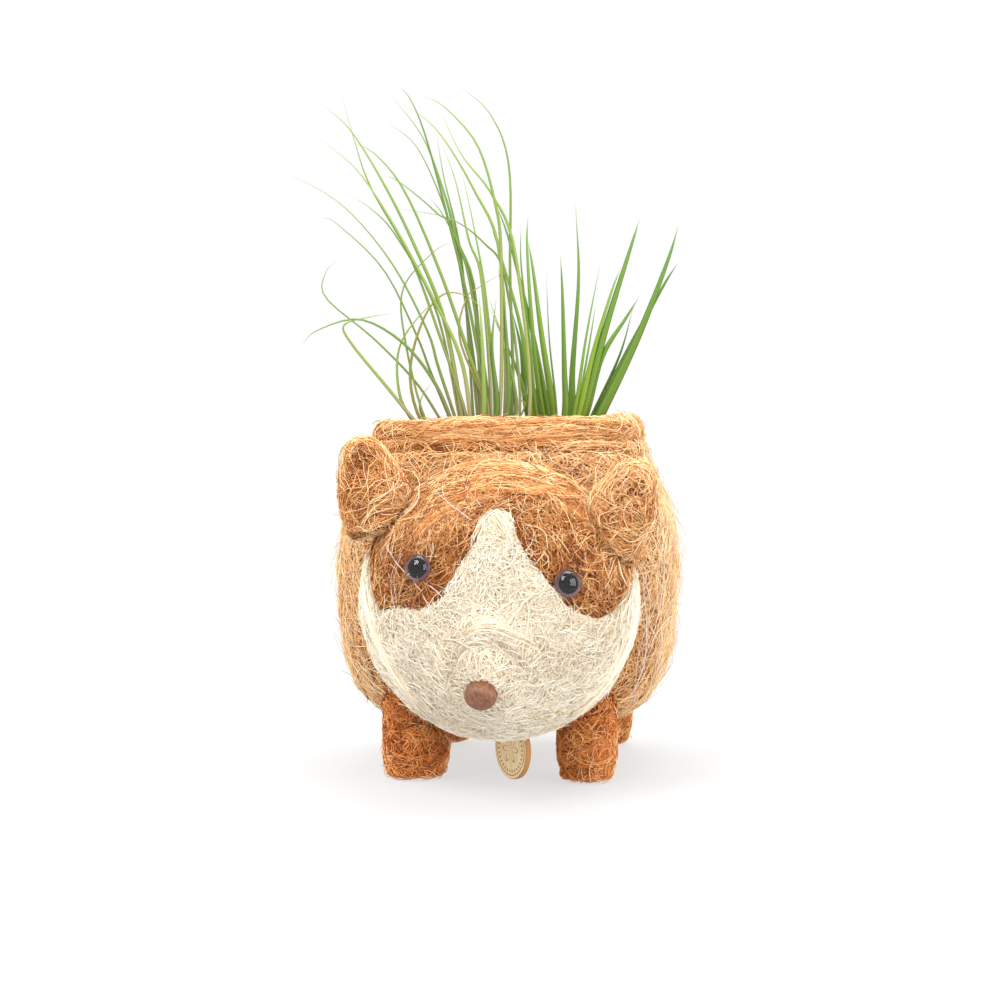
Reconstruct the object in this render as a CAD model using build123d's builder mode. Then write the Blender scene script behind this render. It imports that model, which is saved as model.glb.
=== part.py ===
from build123d import *
import math
import os

os.makedirs("parts", exist_ok=True)

# A garden pot in the shape of a short-legged dog, made of coconut fibre bound over wire.
# Millimetres. +Z is up, the animal faces -Y, and +X is at a viewer's right.
# The origin lies on the ground, midway between the four feet.

# Body: a barrel of packed fibre round a cavity
body_width = 136
body_length = 148
belly_height = 22
body_top = 127
wall = 9
floor_thickness = 10

# Height share of the body, then half-width, half-length and corner radius as shares
body_section_shares = [
    (0, 0.68, 0.70, 0.46),
    (0.06, 0.82, 0.83, 0.58),
    (0.18, 0.935, 0.94, 0.70),
    (0.50, 1.00, 1.00, 0.80),
    (0.72, 0.975, 0.97, 0.76),
    (0.87, 0.90, 0.90, 0.62),
    (0.95, 0.845, 0.84, 0.50),
    (1.00, 0.80, 0.79, 0.42),
]

# Rolled rim round the opening
rim_side_step = 0.9
rim_end_step = 3.46
rim_thickness = 12.5
rim_height = 14
rim_corner = 28
rim_edge_round = 5.6

# Wire frame
hoop_radius = 1.1
hoop_gap = 0.2
rib_foot_inset = 8
end_rib_inset = 13
upper_ease = 2.6
leg_wire_radius = 1.1
leg_wire_top = 47.5
leg_wire_foot = 4
neck_wire_radius = 1.3
neck_wire_spacing = 30
neck_wire_reach = 26
neck_wire_inside = 4.5

# Legs
# Their places are shares of the body's width and length, in the order of leg_names
leg_across_shares = [-0.24, 0.2515, -0.257, 0.257]
leg_along_shares = [-0.338, -0.35, 0.338, 0.338]
leg_radii = [11.4, 9.9, 11.4, 11.4]
leg_reach = 56
leg_flare = 2.6
sole_inset = 2.8
paw_height = 7
paw_bulge = 0.9
ankle_height = 11.5
ankle_dent = 1.0
paw_thread_radius = 0.45

# Tail stub
tail_radius = 9
tail_height = 92
tail_stand = 4

# Head: a flattened ball that leans a little to one side
head_shift = 3.8
head_stand = 13
chin_height = 20.6
head_radius = 51.8
head_depth = 40
head_roll = 5.5
skin = 3

# Directions of the ball's pole and of its seam, kept clear of the mask's edges
pole_shares = (-0.35, -0.75, 0.56)
seam_shares = (0, 0.3, 0.95)

# Outline of the bleached mask, as shares of the head's radius
mask_outline_shares = [
    (-1.30, 0.50),
    (-0.98, 0.48),
    (-0.94, 0.25),
    (-0.87, 0.01),
    (-0.78, -0.15),
    (-0.66, -0.08),
    (-0.48, -0.07),
    (-0.34, 0.00),
    (-0.28, 0.16),
    (-0.20, 0.31),
    (-0.12, 0.47),
    (-0.05, 0.68),
    (0.08, 0.67),
    (0.14, 0.49),
    (0.25, 0.34),
    (0.43, 0.17),
    (0.57, 0.03),
    (0.74, -0.02),
    (0.85, 0.05),
    (0.91, 0.18),
    (0.94, 0.36),
    (1.30, 0.40),
    (1.30, -1.30),
    (-1.30, -1.30),
]

# Snout and nose
snout_radius = 18
snout_place_shares = (0.03, -0.435)
snout_stand = 24.5
nose_place_shares = (0.01, -0.585)
nose_width = 11.5
nose_height = 9.8
nose_stand = 4.3
nose_sink = 2
nose_round = 2.4
nose_peg_radius = 0.8
nose_peg_length = 9

# Eyes: clear domes on coloured backs, held by wire shanks
eye_radius = 4.8
eye_place_shares = (0.52, 0.215)
eye_sink = 1.4
eye_back_thickness = 1.0
pupil_radius = 3.0
pupil_thickness = 0.3
dome_skirt = 0.7
dome_height = 3.6
eye_clearance = 0.05
shank_radius = 0.6
shank_length = 11

# Ears: short rolled cones with a scooped front
ear_place_shares = [(-0.925, 0.686), (0.822, 0.684)]
ear_tilts = [16, 24]
ear_base_radius = 13
ear_tip_radius = 9.8
ear_length = 36
ear_root = 14
ear_forward = 8
ear_scoop_radius = 5.5
ear_scoop_depth = 2.8
ear_wire_radius = 0.9
ear_wire_reach = 8

# Wooden tag on a thread loop under the chin
tag_radius = 11.4
tag_thickness = 2.4
tag_aside = 3.2
tag_behind = 20.5
tag_drop = 6.4
tag_turn = 53
tag_hole_radius = 1.6
tag_hole_margin = 1.3
tag_edge_round = 0.4
thread_radius = 0.3
loop_drop = 0.3
thread_gap = 0.05
stitch_gap = 0.2
stitch_half_width = 2.2
stitch_depth = 4.5

# Liner pot that lifts out, and the packed fibre in it
liner_side_gap = 4.5
liner_end_gap = 5
liner_taper = 6.5
liner_corner = 16
liner_top = 131
liner_wall = 1.2
liner_seat_gap = 0.2
liner_lip = 0.9
liner_lip_height = 2
bed_top = 112

# Air plants
base_gap = 0.3
bulb_height = 12
bulb_shoulder_share = 0.6
# Their places and radii are shares of the liner's half-width and half-length
left_bulb_shares = (-0.3836, -0.4533)
left_bulb_share = 0.3425
right_bulb_shares = (0.5205, 0.32)
right_bulb_share = 0.274

# How the photograph sees the plants: a pixel's size at the origin, and the view
pixel_size = 0.4135
view_distance = 845
view_turn = 5.5
view_height = 128
pixel_centre = (511.5, 450)
leaf_height = 150

# Leaf routes in pixels of the photograph, from just over the rim to the tip
left_leaf_pixels = [
    [(455, 417), (438, 366), (427, 330), (391, 262), (341, 204), (283, 170)],
    [(450, 419), (431, 373), (416, 334), (383, 269), (336, 223), (320, 217)],
    [(470, 415), (461, 359), (436, 304), (393, 224), (356, 169), (315, 135)],
    [(462, 416), (444, 319), (416, 249), (386, 188), (351, 131), (321, 103)],
    [(466, 415), (439, 334), (411, 259), (371, 188), (355, 143), (342, 96)],
    [(488, 410), (469, 355), (442, 277), (406, 194), (376, 155), (350, 141)],
    [(459, 416), (436, 310), (396, 236), (370, 208), (351, 196)],
    [(480, 411), (466, 305), (450, 225), (419, 151), (387, 122)],
    [(482, 411), (474, 291), (457, 241), (446, 199), (424, 140), (392, 97)],
    [(486, 411), (470, 310), (447, 215), (426, 138), (411, 101), (398, 86)],
    [(505, 411), (500, 257), (474, 191), (436, 130), (396, 100)],
    [(500, 411), (501, 257), (495, 204), (477, 146), (444, 108), (424, 98)],
    [(512, 411), (510, 274), (509, 169), (490, 116), (457, 86)],
    [(530, 411), (515, 254), (492, 196), (461, 155), (439, 108)],
    [(473, 411), (462, 262), (444, 178), (436, 131)],
    [(491, 411), (482, 282), (469, 241), (456, 183), (442, 145)],
    [(495, 411), (486, 299), (474, 228), (461, 168)],
    [(520, 411), (505, 279), (484, 244), (449, 219), (398, 209)],
    [(477, 411), (457, 243), (436, 213), (399, 182), (383, 176)],
    [(489, 411), (478, 330), (464, 259), (442, 214), (429, 198)],
    [(425, 419), (405, 340), (403, 289), (432, 254), (452, 242)],
    [(440, 419), (414, 380), (373, 338), (325, 297), (325, 272), (338, 259)],
    [(450, 417), (433, 380), (402, 342), (359, 319), (316, 330), (300, 345)],
    [(414, 420), (386, 386), (350, 342), (344, 324), (373, 316), (391, 314)],
    [(410, 417), (398, 386), (400, 345), (424, 311), (443, 299)],
    [(508, 411), (505, 320), (498, 268)],
    [(484, 411), (482, 340), (479, 293)],
    [(497, 411), (492, 350), (496, 300)],
    [(516, 411), (504, 345), (488, 296)],
]
left_leaf_widths = [
    1.5, 1.3, 1.9, 2.0, 1.4, 1.9, 1.2, 1.3, 2.2, 1.5, 1.7, 1.7, 1.5, 1.7, 1.3,
    1.6, 1.6, 1.3, 1.3, 1.6, 1.1, 1.2, 1.7, 1.6, 1.5, 2.6, 2.8, 2.8, 2.2,
]

dry_leaf_pixels = [
    [(420, 419), (410, 370), (424, 318), (445, 294), (471, 299), (493, 323)],
    [(487, 411), (460, 340), (466, 300), (479, 288), (512, 268)],
    [(423, 418), (421, 399), (433, 381)],
    [(524, 409), (519, 399), (528, 392)],
]
dry_leaf_widths = [1.4, 1.2, 1.0, 0.9]

right_leaf_pixels = [
    [(571, 412), (572, 370), (578, 280), (575, 208)],
    [(565, 412), (564, 370), (562, 295), (560, 256)],
    [(583, 411), (604, 332), (628, 254), (638, 222)],
    [(580, 408), (593, 352), (610, 295), (620, 268)],
    [(601, 412), (637, 337), (665, 265), (676, 229)],
    [(597, 411), (632, 342), (662, 287), (676, 265)],
    [(586, 411), (601, 358), (625, 319), (638, 298)],
    [(594, 411), (619, 355), (632, 308)],
    [(575, 408), (586, 335), (600, 262)],
    [(577, 410), (590, 337), (595, 304)],
    [(542, 412), (533, 340), (527, 250), (528, 216)],
    [(553, 412), (542, 340), (533, 272), (527, 238)],
    [(556, 411), (549, 340), (546, 274)],
    [(536, 411), (529, 340), (521, 265), (521, 225)],
    [(547, 410), (532, 332), (509, 241), (493, 199)],
    [(533, 411), (521, 330), (500, 254), (491, 228)],
    [(530, 411), (515, 365), (490, 310)],
    [(527, 410), (521, 350), (511, 308)],
    [(539, 411), (529, 370), (525, 333)],
]
right_leaf_widths = [
    4.0, 3.6, 4.6, 3.2, 4.8, 3.4, 3.8, 2.2, 2.2, 1.6, 3.2, 3.8, 1.4, 2.0, 3.0,
    2.6, 3.4, 3.6, 3.0,
]
tip_width_share = 0.16
taper_bow = 1.6
blade_thickness = 0.42
broad_blade_thickness = 0.5
blade_spans = 8

# How the leaves of each plant spread from front to back
left_lane_width = 19
right_lane_width = 15
left_fan = 1.3
right_fan = 1.2
left_lean = -10
right_lean = 8
root_share = 0.42
leaf_bow = 1.5

cut_over = 2


# Body shapes
def share_height(height_share, low, high):
    """Height that lies at a share of the way from low to high."""
    return low + height_share * (high - low)


def body_section(index, inset, low):
    """One level outline of the body, pulled in by inset."""
    height_share, width_share, length_share, corner_share = body_section_shares[index]
    half_width = body_width / 2 * width_share
    half_length = body_length / 2 * length_share
    corner = body_width / 2 * corner_share
    with BuildSketch(Plane.XY.offset(share_height(height_share, low, body_top))) as outline:
        RectangleRounded(
            2 * (half_width - inset),
            2 * (half_length - inset),
            corner - inset,
        )
    return outline.sketch


cavity_floor = belly_height + floor_thickness

with BuildPart() as body_form:
    loft([body_section(index, 0, belly_height) for index in range(len(body_section_shares))])

with BuildPart() as cavity_form:
    loft([body_section(index, wall, cavity_floor) for index in range(len(body_section_shares))])
    top_width_share, top_length_share, top_corner_share = body_section_shares[-1][1:]
    with BuildSketch(Plane.XY.offset(body_top)):
        RectangleRounded(
            body_width * top_width_share - 2 * wall,
            body_length * top_length_share - 2 * wall,
            body_width / 2 * top_corner_share - wall,
        )
    extrude(amount=cut_over)


# Rods and rings
def rod(start, end, radius):
    """A straight round rod between two points, in the block that calls this."""
    run = Vector(*end) - Vector(*start)
    with BuildSketch(Plane(origin=start, z_dir=run)) as section:
        Circle(radius)
    extrude(section.sketch, amount=run.length)


def ring(outline, radius):
    """A closed wire ring that follows a level outline's edge."""
    path = outline.faces()[0].outer_wire()
    with BuildSketch(Plane(origin=path @ 0, z_dir=path % 0)) as section:
        Circle(radius)
    sweep(section.sketch, path=path)


def on_plane(plane, across, up, out=0):
    """A point given in a plane's own directions."""
    return plane.from_local_coords(Vector(across, up, out))


# Legs: front left, front right, rear left, rear right, as the viewer sees them
leg_names = ["front_left", "front_right", "rear_left", "rear_right"]
leg_places = [
    (body_width * across, body_length * along)
    for across, along in zip(leg_across_shares, leg_along_shares)
]

# The head's own plane: across, up and, along its normal, forward
head_forward = body_length / 2 + head_stand
head_height = chin_height + head_radius
head_centre = Vector(head_shift, -head_forward, head_height)
head_plane = Plane(
    origin=head_centre,
    x_dir=(math.cos(math.radians(head_roll)), 0, -math.sin(math.radians(head_roll))),
    z_dir=(0, -1, 0),
)

pole_direction = Vector(*pole_shares).normalized()
seam_direction = Vector(*seam_shares)
seam_direction -= pole_direction * seam_direction.dot(pole_direction)


def head_ball(inset):
    """The flattened ball of the head, smaller by inset all round."""
    radius = head_radius - inset
    ball_plane = Plane(origin=(0, 0, 0), x_dir=seam_direction, z_dir=pole_direction)
    ball = scale(ball_plane * Sphere(radius), by=(1, (head_depth - inset) / radius, 1))
    return ball.moved(Location(head_centre))


head_form = head_ball(0)
head_inner_form = head_ball(skin)

with BuildPart() as mask_prism:
    with BuildSketch(head_plane):
        with BuildLine():
            Polyline(
                *[(x * head_radius, y * head_radius) for x, y in mask_outline_shares],
                close=True,
            )
        make_face()
    extrude(amount=head_depth + cut_over, both=True)

# Eye places and their outward directions on the ball
eye_names = ["left", "right"]
eye_planes = []
for side in (-1, 1):
    across = side * eye_place_shares[0] * head_radius
    up = eye_place_shares[1] * head_radius
    level = math.sqrt(1 - (across**2 + up**2) / head_radius**2)
    seat = on_plane(head_plane, across, up, head_depth * level)
    slope = Vector(across / head_radius**2, up / head_radius**2, level / head_depth)
    outward = on_plane(head_plane, slope.X, slope.Y, slope.Z) - head_centre
    eye_planes.append(Plane(origin=seat, z_dir=outward.normalized()))

# Nose place on the snout, along the line from the snout's centre
snout_across = snout_place_shares[0] * head_radius
snout_up = snout_place_shares[1] * head_radius
snout_centre = on_plane(head_plane, snout_across, snout_up, snout_stand)
nose_across = nose_place_shares[0] * head_radius - snout_across
nose_up = nose_place_shares[1] * head_radius - snout_up
nose_out = math.sqrt(snout_radius**2 - nose_across**2 - nose_up**2)
nose_direction = (
    head_plane.x_dir * nose_across + head_plane.y_dir * nose_up + head_plane.z_dir * nose_out
).normalized()
nose_plane = Plane(
    origin=snout_centre + nose_direction * snout_radius,
    x_dir=head_plane.x_dir,
    z_dir=nose_direction,
)

# Ear axes
ear_planes = []
for (across_share, up_share), tilt, side in zip(ear_place_shares, ear_tilts, (-1, 1)):
    lean = math.radians(tilt)
    ear_planes.append(
        Plane(
            origin=on_plane(
                head_plane,
                across_share * head_radius - side * ear_root * math.sin(lean),
                up_share * head_radius - ear_root * math.cos(lean),
                ear_forward,
            ),
            x_dir=(0, -1, 0),
            z_dir=(side * math.sin(lean), 0, math.cos(lean)),
        )
    )

# Hollow coir body with holes for the leg wires and the neck wires
belly_hoop_height = share_height(body_section_shares[3][0], cavity_floor, body_top)
neck_wire_height = belly_hoop_height - hoop_radius - neck_wire_radius - hoop_gap
neck_inner_end = body_length / 2 - wall - neck_wire_inside
neck_wire_ends = [
    (
        (head_shift + side * neck_wire_spacing / 2, -head_forward - neck_wire_reach / 2, neck_wire_height),
        (head_shift + side * neck_wire_spacing / 2, -neck_inner_end, neck_wire_height),
    )
    for side in (-1, 1)
]

with BuildPart() as body_shell:
    add(body_form.part)
    add(cavity_form.part, mode=Mode.SUBTRACT)
    for x, y in leg_places:
        with BuildSketch(Plane(origin=(x, y, 0))):
            Circle(leg_wire_radius)
        extrude(amount=leg_wire_top, mode=Mode.SUBTRACT)
    for start, end in neck_wire_ends:
        with BuildSketch(Plane(origin=start, z_dir=(0, 1, 0))):
            Circle(neck_wire_radius)
        extrude(amount=Vector(*end).Y - Vector(*start).Y, mode=Mode.SUBTRACT)
body_shell.part.label = "body_shell"
export_step(body_shell.part, "parts/body_shell.step")

# Rim: fibre rolled round a wire hoop
rim_outer_width = body_width * top_width_share - 2 * rim_side_step
rim_outer_length = body_length * top_length_share - 2 * rim_end_step
with BuildSketch(Plane.XY.offset(body_top + rim_height / 2)) as rim_line:
    RectangleRounded(
        rim_outer_width - rim_thickness,
        rim_outer_length - rim_thickness,
        rim_corner - rim_thickness / 2,
    )

with BuildPart() as rim_hoop:
    ring(rim_line.sketch, hoop_radius)
rim_hoop.part.label = "rim_hoop"
export_step(rim_hoop.part, "parts/rim_hoop.step")

with BuildPart() as rim_roll:
    rim_path = rim_line.sketch.faces()[0].outer_wire()
    with BuildSketch(Plane(origin=rim_path @ 0, x_dir=(0, 0, 1), z_dir=rim_path % 0)):
        RectangleRounded(rim_height, rim_thickness, rim_edge_round)
    sweep(path=rim_path)
    add(rim_hoop.part, mode=Mode.SUBTRACT)
rim_roll.part.label = "rim_roll"
export_step(rim_roll.part, "parts/rim_roll.step")

# Liner widths and lengths, inside the rim's opening
liner_top_width = rim_outer_width - 2 * (rim_thickness + liner_side_gap)
liner_top_length = rim_outer_length - 2 * (rim_thickness + liner_end_gap)
liner_foot_width = liner_top_width - 2 * liner_taper
liner_foot_length = liner_top_length - 2 * liner_taper

# Frame hoops against the inside of the wall
hoop_inset = wall + hoop_gap + hoop_radius
for name, index, ease in (
    ("base_hoop", 2, hoop_gap),
    ("belly_hoop", 3, 0),
    ("top_hoop", 5, hoop_radius),
):
    with BuildPart() as frame_hoop:
        ring(body_section(index, hoop_inset + ease, cavity_floor), hoop_radius)
    frame_hoop.part.label = name
    export_step(frame_hoop.part, f"parts/{name}.step")

# Ribs inside the hoops: two that pass under the liner, four short ones at the ends
rib_inset = hoop_inset + 2 * hoop_radius + hoop_gap
rib_floor = cavity_floor + hoop_radius + hoop_gap
rib_levels = (2, 3, 4, 5, 6)
eased_levels = (2, 5, 6)


def inner_reach(index, across):
    """Half-width or half-length of the cavity at one section, less the rib's inset."""
    inset = rib_inset + (upper_ease if index in eased_levels else 0)
    if across:
        return body_width / 2 * body_section_shares[index][1] - inset
    return body_length / 2 * body_section_shares[index][2] - inset


def rib_height(index):
    """Height of a section of the cavity."""
    return share_height(body_section_shares[index][0], cavity_floor, body_top)


rib_bend = 9
rib_spacing = liner_foot_length - 2 * rib_foot_inset
end_rib_spacing = liner_foot_width - 2 * end_rib_inset
rib_side = [(inner_reach(index, True), rib_height(index)) for index in rib_levels]
rib_foot = (inner_reach(1, True) - rib_bend / 2, rib_floor)
for name, side in (("cross_rib_front", -1), ("cross_rib_rear", 1)):
    rib_plane = Plane(origin=(0, side * rib_spacing / 2, 0), x_dir=(1, 0, 0), z_dir=(0, -1, 0))
    with BuildPart() as rib:
        right_half = [rib_foot] + rib_side
        left_half = [(-x, z) for x, z in reversed(right_half)]
        with BuildLine(rib_plane) as rib_line:
            FilletPolyline(*left_half, *right_half, radius=rib_bend)
        with BuildSketch(Plane(origin=rib_line.line @ 0, z_dir=rib_line.line % 0)):
            Circle(hoop_radius)
        sweep(path=rib_line.wires()[0])
    rib.part.label = name
    export_step(rib.part, f"parts/{name}.step")

with BuildPart() as end_ribs:
    for side in (-1, 1):
        for place in (-end_rib_spacing / 2, end_rib_spacing / 2):
            end_plane = Plane(origin=(place, 0, 0), x_dir=(0, side, 0), z_dir=(side, 0, 0))
            with BuildLine(end_plane) as end_line:
                FilletPolyline(
                    *[(inner_reach(index, False), rib_height(index)) for index in rib_levels],
                    radius=rib_bend,
                )
            with BuildSketch(Plane(origin=end_line.line @ 0, z_dir=end_line.line % 0)):
                Circle(hoop_radius)
            sweep(path=end_line.wires()[0])
end_ribs.part.label = "end_ribs"
export_step(end_ribs.part, "parts/end_ribs.step")

# Legs, their wires and the thread round each ankle
for name, (x, y), leg_radius in zip(leg_names, leg_places, leg_radii):
    leg_plane = Plane(origin=(x, y, 0), x_dir=(1, 0, 0), z_dir=(0, -1, 0))
    leg_axis = Axis((x, y, 0), (0, 0, 1))
    ankle_radius = leg_radius - ankle_dent
    sole_radius = leg_radius - sole_inset
    thread_centre = (ankle_radius, ankle_height)
    with BuildPart() as leg:
        with BuildSketch(leg_plane):
            with BuildLine():
                Line((leg_wire_radius, 0), (sole_radius, 0))
                Spline(
                    (sole_radius, 0),
                    (leg_radius + paw_bulge, paw_height),
                    (ankle_radius, ankle_height),
                    (leg_radius, 2 * ankle_height),
                    (leg_radius + leg_flare, leg_reach),
                    tangents=[(1, 0), (0, 1)],
                )
                Line((leg_radius + leg_flare, leg_reach), (leg_wire_radius, leg_reach))
                Line((leg_wire_radius, leg_reach), (leg_wire_radius, 0))
            make_face()
        revolve(axis=leg_axis)
        with BuildSketch(leg_plane):
            with Locations(thread_centre):
                Circle(paw_thread_radius)
        revolve(axis=leg_axis, mode=Mode.SUBTRACT)
        add(body_form.part, mode=Mode.SUBTRACT)
    leg.part.label = f"leg_{name}"
    export_step(leg.part, f"parts/leg_{name}.step")

    with BuildPart() as leg_wire:
        rod((x, y, leg_wire_foot), (x, y, leg_wire_top), leg_wire_radius)
    leg_wire.part.label = f"leg_wire_{name}"
    export_step(leg_wire.part, f"parts/leg_wire_{name}.step")

    with BuildPart() as paw_thread:
        with BuildSketch(leg_plane):
            with Locations(thread_centre):
                Circle(paw_thread_radius)
        revolve(axis=leg_axis)
    paw_thread.part.label = f"paw_thread_{name}"
    export_step(paw_thread.part, f"parts/paw_thread_{name}.step")

# Tail stub at the back
with BuildPart() as tail:
    tail_centre = (0, body_length / 2 + tail_stand, tail_height)
    with BuildSketch(Plane(origin=tail_centre, x_dir=(1, 0, 0), z_dir=(0, -1, 0))):
        with BuildLine():
            CenterArc((0, 0), tail_radius, -90, 180)
            Line((0, tail_radius), (0, -tail_radius))
        make_face()
    revolve(axis=Axis(tail_centre, (0, 0, 1)))
    add(body_form.part, mode=Mode.SUBTRACT)
tail.part.label = "tail"
export_step(tail.part, "parts/tail.step")

# Pieces that are pressed into the head
with BuildPart() as neck_wires:
    for start, end in neck_wire_ends:
        rod(start, end, neck_wire_radius)
neck_wires.part.label = "neck_wires"
export_step(neck_wires.part, "parts/neck_wires.step")


def disc(plane, radius, low, high):
    """A round disc along a plane's normal, from low to high, in the block that calls this."""
    with BuildSketch(plane.offset(low)) as section:
        Circle(radius)
    extrude(section.sketch, amount=high - low)


eye_backs = []
eye_shanks = []
for name, plane in zip(eye_names, eye_planes):
    back_low = -eye_sink
    back_high = back_low + eye_back_thickness
    with BuildPart() as eye_pupil:
        disc(plane, pupil_radius, back_high - pupil_thickness, back_high)
    eye_pupil.part.label = f"eye_pupil_{name}"
    export_step(eye_pupil.part, f"parts/eye_pupil_{name}.step")

    with BuildPart() as eye_back:
        disc(plane, eye_radius, back_low, back_high)
        add(eye_pupil.part, mode=Mode.SUBTRACT)
    eye_back.part.label = f"eye_ring_{name}"
    export_step(eye_back.part, f"parts/eye_ring_{name}.step")

    with BuildPart() as eye_dome:
        skirt_top = back_high + dome_skirt
        with BuildSketch(Plane(origin=plane.origin, x_dir=plane.x_dir, z_dir=-plane.y_dir)):
            with BuildLine():
                Polyline(
                    (0, skirt_top + dome_height),
                    (0, back_high),
                    (eye_radius, back_high),
                    (eye_radius, skirt_top),
                )
                Spline(
                    (eye_radius, skirt_top),
                    (eye_radius * math.sqrt(0.5), skirt_top + dome_height * math.sqrt(0.5)),
                    (0, skirt_top + dome_height),
                    tangents=[(0, 1), (-1, 0)],
                )
            make_face()
        revolve(axis=Axis(plane.origin, plane.z_dir))
    eye_dome.part.label = f"eye_dome_{name}"
    export_step(eye_dome.part, f"parts/eye_dome_{name}.step")

    with BuildPart() as eye_shank:
        disc(plane, shank_radius, back_low - shank_length, back_low)
    eye_shank.part.label = f"eye_shank_{name}"
    export_step(eye_shank.part, f"parts/eye_shank_{name}.step")
    eye_shanks.append(eye_shank.part)

    with BuildPart() as eye_socket:
        disc(plane, eye_radius + eye_clearance, back_low, head_depth / 2)
    eye_backs.append(eye_socket.part)

with BuildPart() as nose_button:
    with BuildSketch(nose_plane.offset(-nose_sink)):
        Ellipse(nose_width / 2, nose_height / 2)
    extrude(amount=nose_sink + nose_stand)
    fillet(nose_button.edges().sort_by(Axis(nose_plane.origin, nose_plane.z_dir))[-1], nose_round)
nose_button.part.label = "nose_button"
export_step(nose_button.part, "parts/nose_button.step")

with BuildPart() as nose_peg:
    disc(nose_plane, nose_peg_radius, -nose_sink - nose_peg_length, -nose_sink)
nose_peg.part.label = "nose_peg"
export_step(nose_peg.part, "parts/nose_peg.step")

# Ears and the wires that hold them
ear_wire_parts = []
for name, plane in zip(eye_names, ear_planes):
    with BuildPart() as ear_wire:
        rod(
            on_plane(plane, 0, 0, -ear_wire_reach),
            on_plane(plane, 0, 0, ear_length / 2),
            ear_wire_radius,
        )
    ear_wire.part.label = f"ear_wire_{name}"
    export_step(ear_wire.part, f"parts/ear_wire_{name}.step")
    ear_wire_parts.append(ear_wire.part)

    with BuildPart() as ear:
        ear_section = Plane(origin=plane.origin, x_dir=plane.x_dir, z_dir=-plane.y_dir)
        tip_centre = ear_length - ear_tip_radius
        with BuildSketch(ear_section):
            with BuildLine():
                Polyline((0, ear_length), (0, 0), (ear_base_radius, 0))
                Spline(
                    (ear_base_radius, 0),
                    (ear_base_radius, ear_length / 3),
                    (ear_tip_radius, tip_centre),
                    (0, ear_length),
                    tangents=[(0, 1), (-1, 0)],
                )
            make_face()
        revolve(axis=Axis(plane.origin, plane.z_dir))
        scoop_centre = on_plane(
            plane,
            ear_tip_radius + ear_scoop_radius - ear_scoop_depth,
            0,
            tip_centre,
        )
        with BuildSketch(Plane(origin=scoop_centre, x_dir=(1, 0, 0), z_dir=(0, -1, 0))):
            with BuildLine():
                CenterArc((0, 0), ear_scoop_radius, -90, 180)
                Line((0, ear_scoop_radius), (0, -ear_scoop_radius))
            make_face()
        revolve(axis=Axis(scoop_centre, (0, 0, 1)), mode=Mode.SUBTRACT)
        add(head_form, mode=Mode.SUBTRACT)
        add(body_form.part, mode=Mode.SUBTRACT)
        add(ear_wire.part, mode=Mode.SUBTRACT)
    ear.part.label = f"ear_{name}"
    export_step(ear.part, f"parts/ear_{name}.step")

# Tag: a stitch under the chin, a thread loop on it, and a wooden disc on the loop
tag_centre_height = chin_height - tag_drop
tag_top = tag_centre_height + tag_radius
hole_height = tag_top - tag_hole_margin - tag_hole_radius
bar_height = tag_top + thread_radius + stitch_gap
loop_top = bar_height + 2 * thread_radius + thread_gap
loop_radius = (loop_top - hole_height + loop_drop) / 2
loop_height = loop_top - loop_radius
tag_across = Vector(
    math.cos(math.radians(tag_turn)),
    -math.sin(math.radians(tag_turn)),
    0,
)
tag_normal = Vector(
    -math.sin(math.radians(tag_turn)),
    -math.cos(math.radians(tag_turn)),
    0,
)


def tag_point(height, out=0):
    """A point under the chin at a height, in the tag's middle plane or out of it."""
    return Vector(head_shift + tag_aside, tag_behind - head_forward, height) + tag_normal * out


with BuildPart() as tag_stitch:
    stitch_plane = Plane(origin=tag_point(bar_height), x_dir=(1, 0, 0), z_dir=(0, -1, 0))
    with BuildLine(stitch_plane) as stitch_line:
        FilletPolyline(
            (-stitch_half_width, stitch_depth),
            (-stitch_half_width, 0),
            (stitch_half_width, 0),
            (stitch_half_width, stitch_depth),
            radius=2 * thread_radius,
        )
    with BuildSketch(Plane(origin=stitch_line.line @ 0, z_dir=stitch_line.line % 0)):
        Circle(thread_radius)
    sweep(path=stitch_line.wires()[0])
tag_stitch.part.label = "tag_stitch"
export_step(tag_stitch.part, "parts/tag_stitch.step")

with BuildPart() as tag_loop:
    loop_centre = tag_point(loop_height)
    with BuildSketch(Plane(origin=loop_centre, x_dir=(0, 0, 1), z_dir=tag_normal)):
        with Locations((loop_radius, 0)):
            Circle(thread_radius)
    revolve(axis=Axis(loop_centre, tag_across))
tag_loop.part.label = "tag_loop"
export_step(tag_loop.part, "parts/tag_loop.step")

with BuildPart() as tag_disc:
    disc_plane = Plane(
        origin=tag_point(tag_centre_height, -tag_thickness / 2),
        x_dir=tag_across,
        z_dir=tag_normal,
    )
    with BuildSketch(disc_plane):
        Circle(tag_radius)
    extrude(amount=tag_thickness)
    fillet(tag_disc.edges(), tag_edge_round)
    hole_up = hole_height - tag_centre_height
    with BuildSketch(disc_plane):
        with Locations((0, hole_up)):
            Circle(tag_hole_radius)
    extrude(amount=tag_thickness, mode=Mode.SUBTRACT)
tag_disc.part.label = "tag_disc"
export_step(tag_disc.part, "parts/tag_disc.step")

# Snout pad, face mask, brown skin and the core of the head
with BuildPart() as snout_form:
    with BuildSketch(Plane(origin=snout_centre, x_dir=(1, 0, 0), z_dir=(0, -1, 0))):
        with BuildLine():
            CenterArc((0, 0), snout_radius, -90, 180)
            Line((0, snout_radius), (0, -snout_radius))
        make_face()
    revolve(axis=Axis(snout_centre, (0, 0, 1)))

with BuildPart() as snout:
    add(snout_form.part)
    add(head_form, mode=Mode.SUBTRACT)
    add(nose_button.part, mode=Mode.SUBTRACT)
    add(nose_peg.part, mode=Mode.SUBTRACT)
snout.part.label = "snout"
export_step(snout.part, "parts/snout.step")

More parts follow.
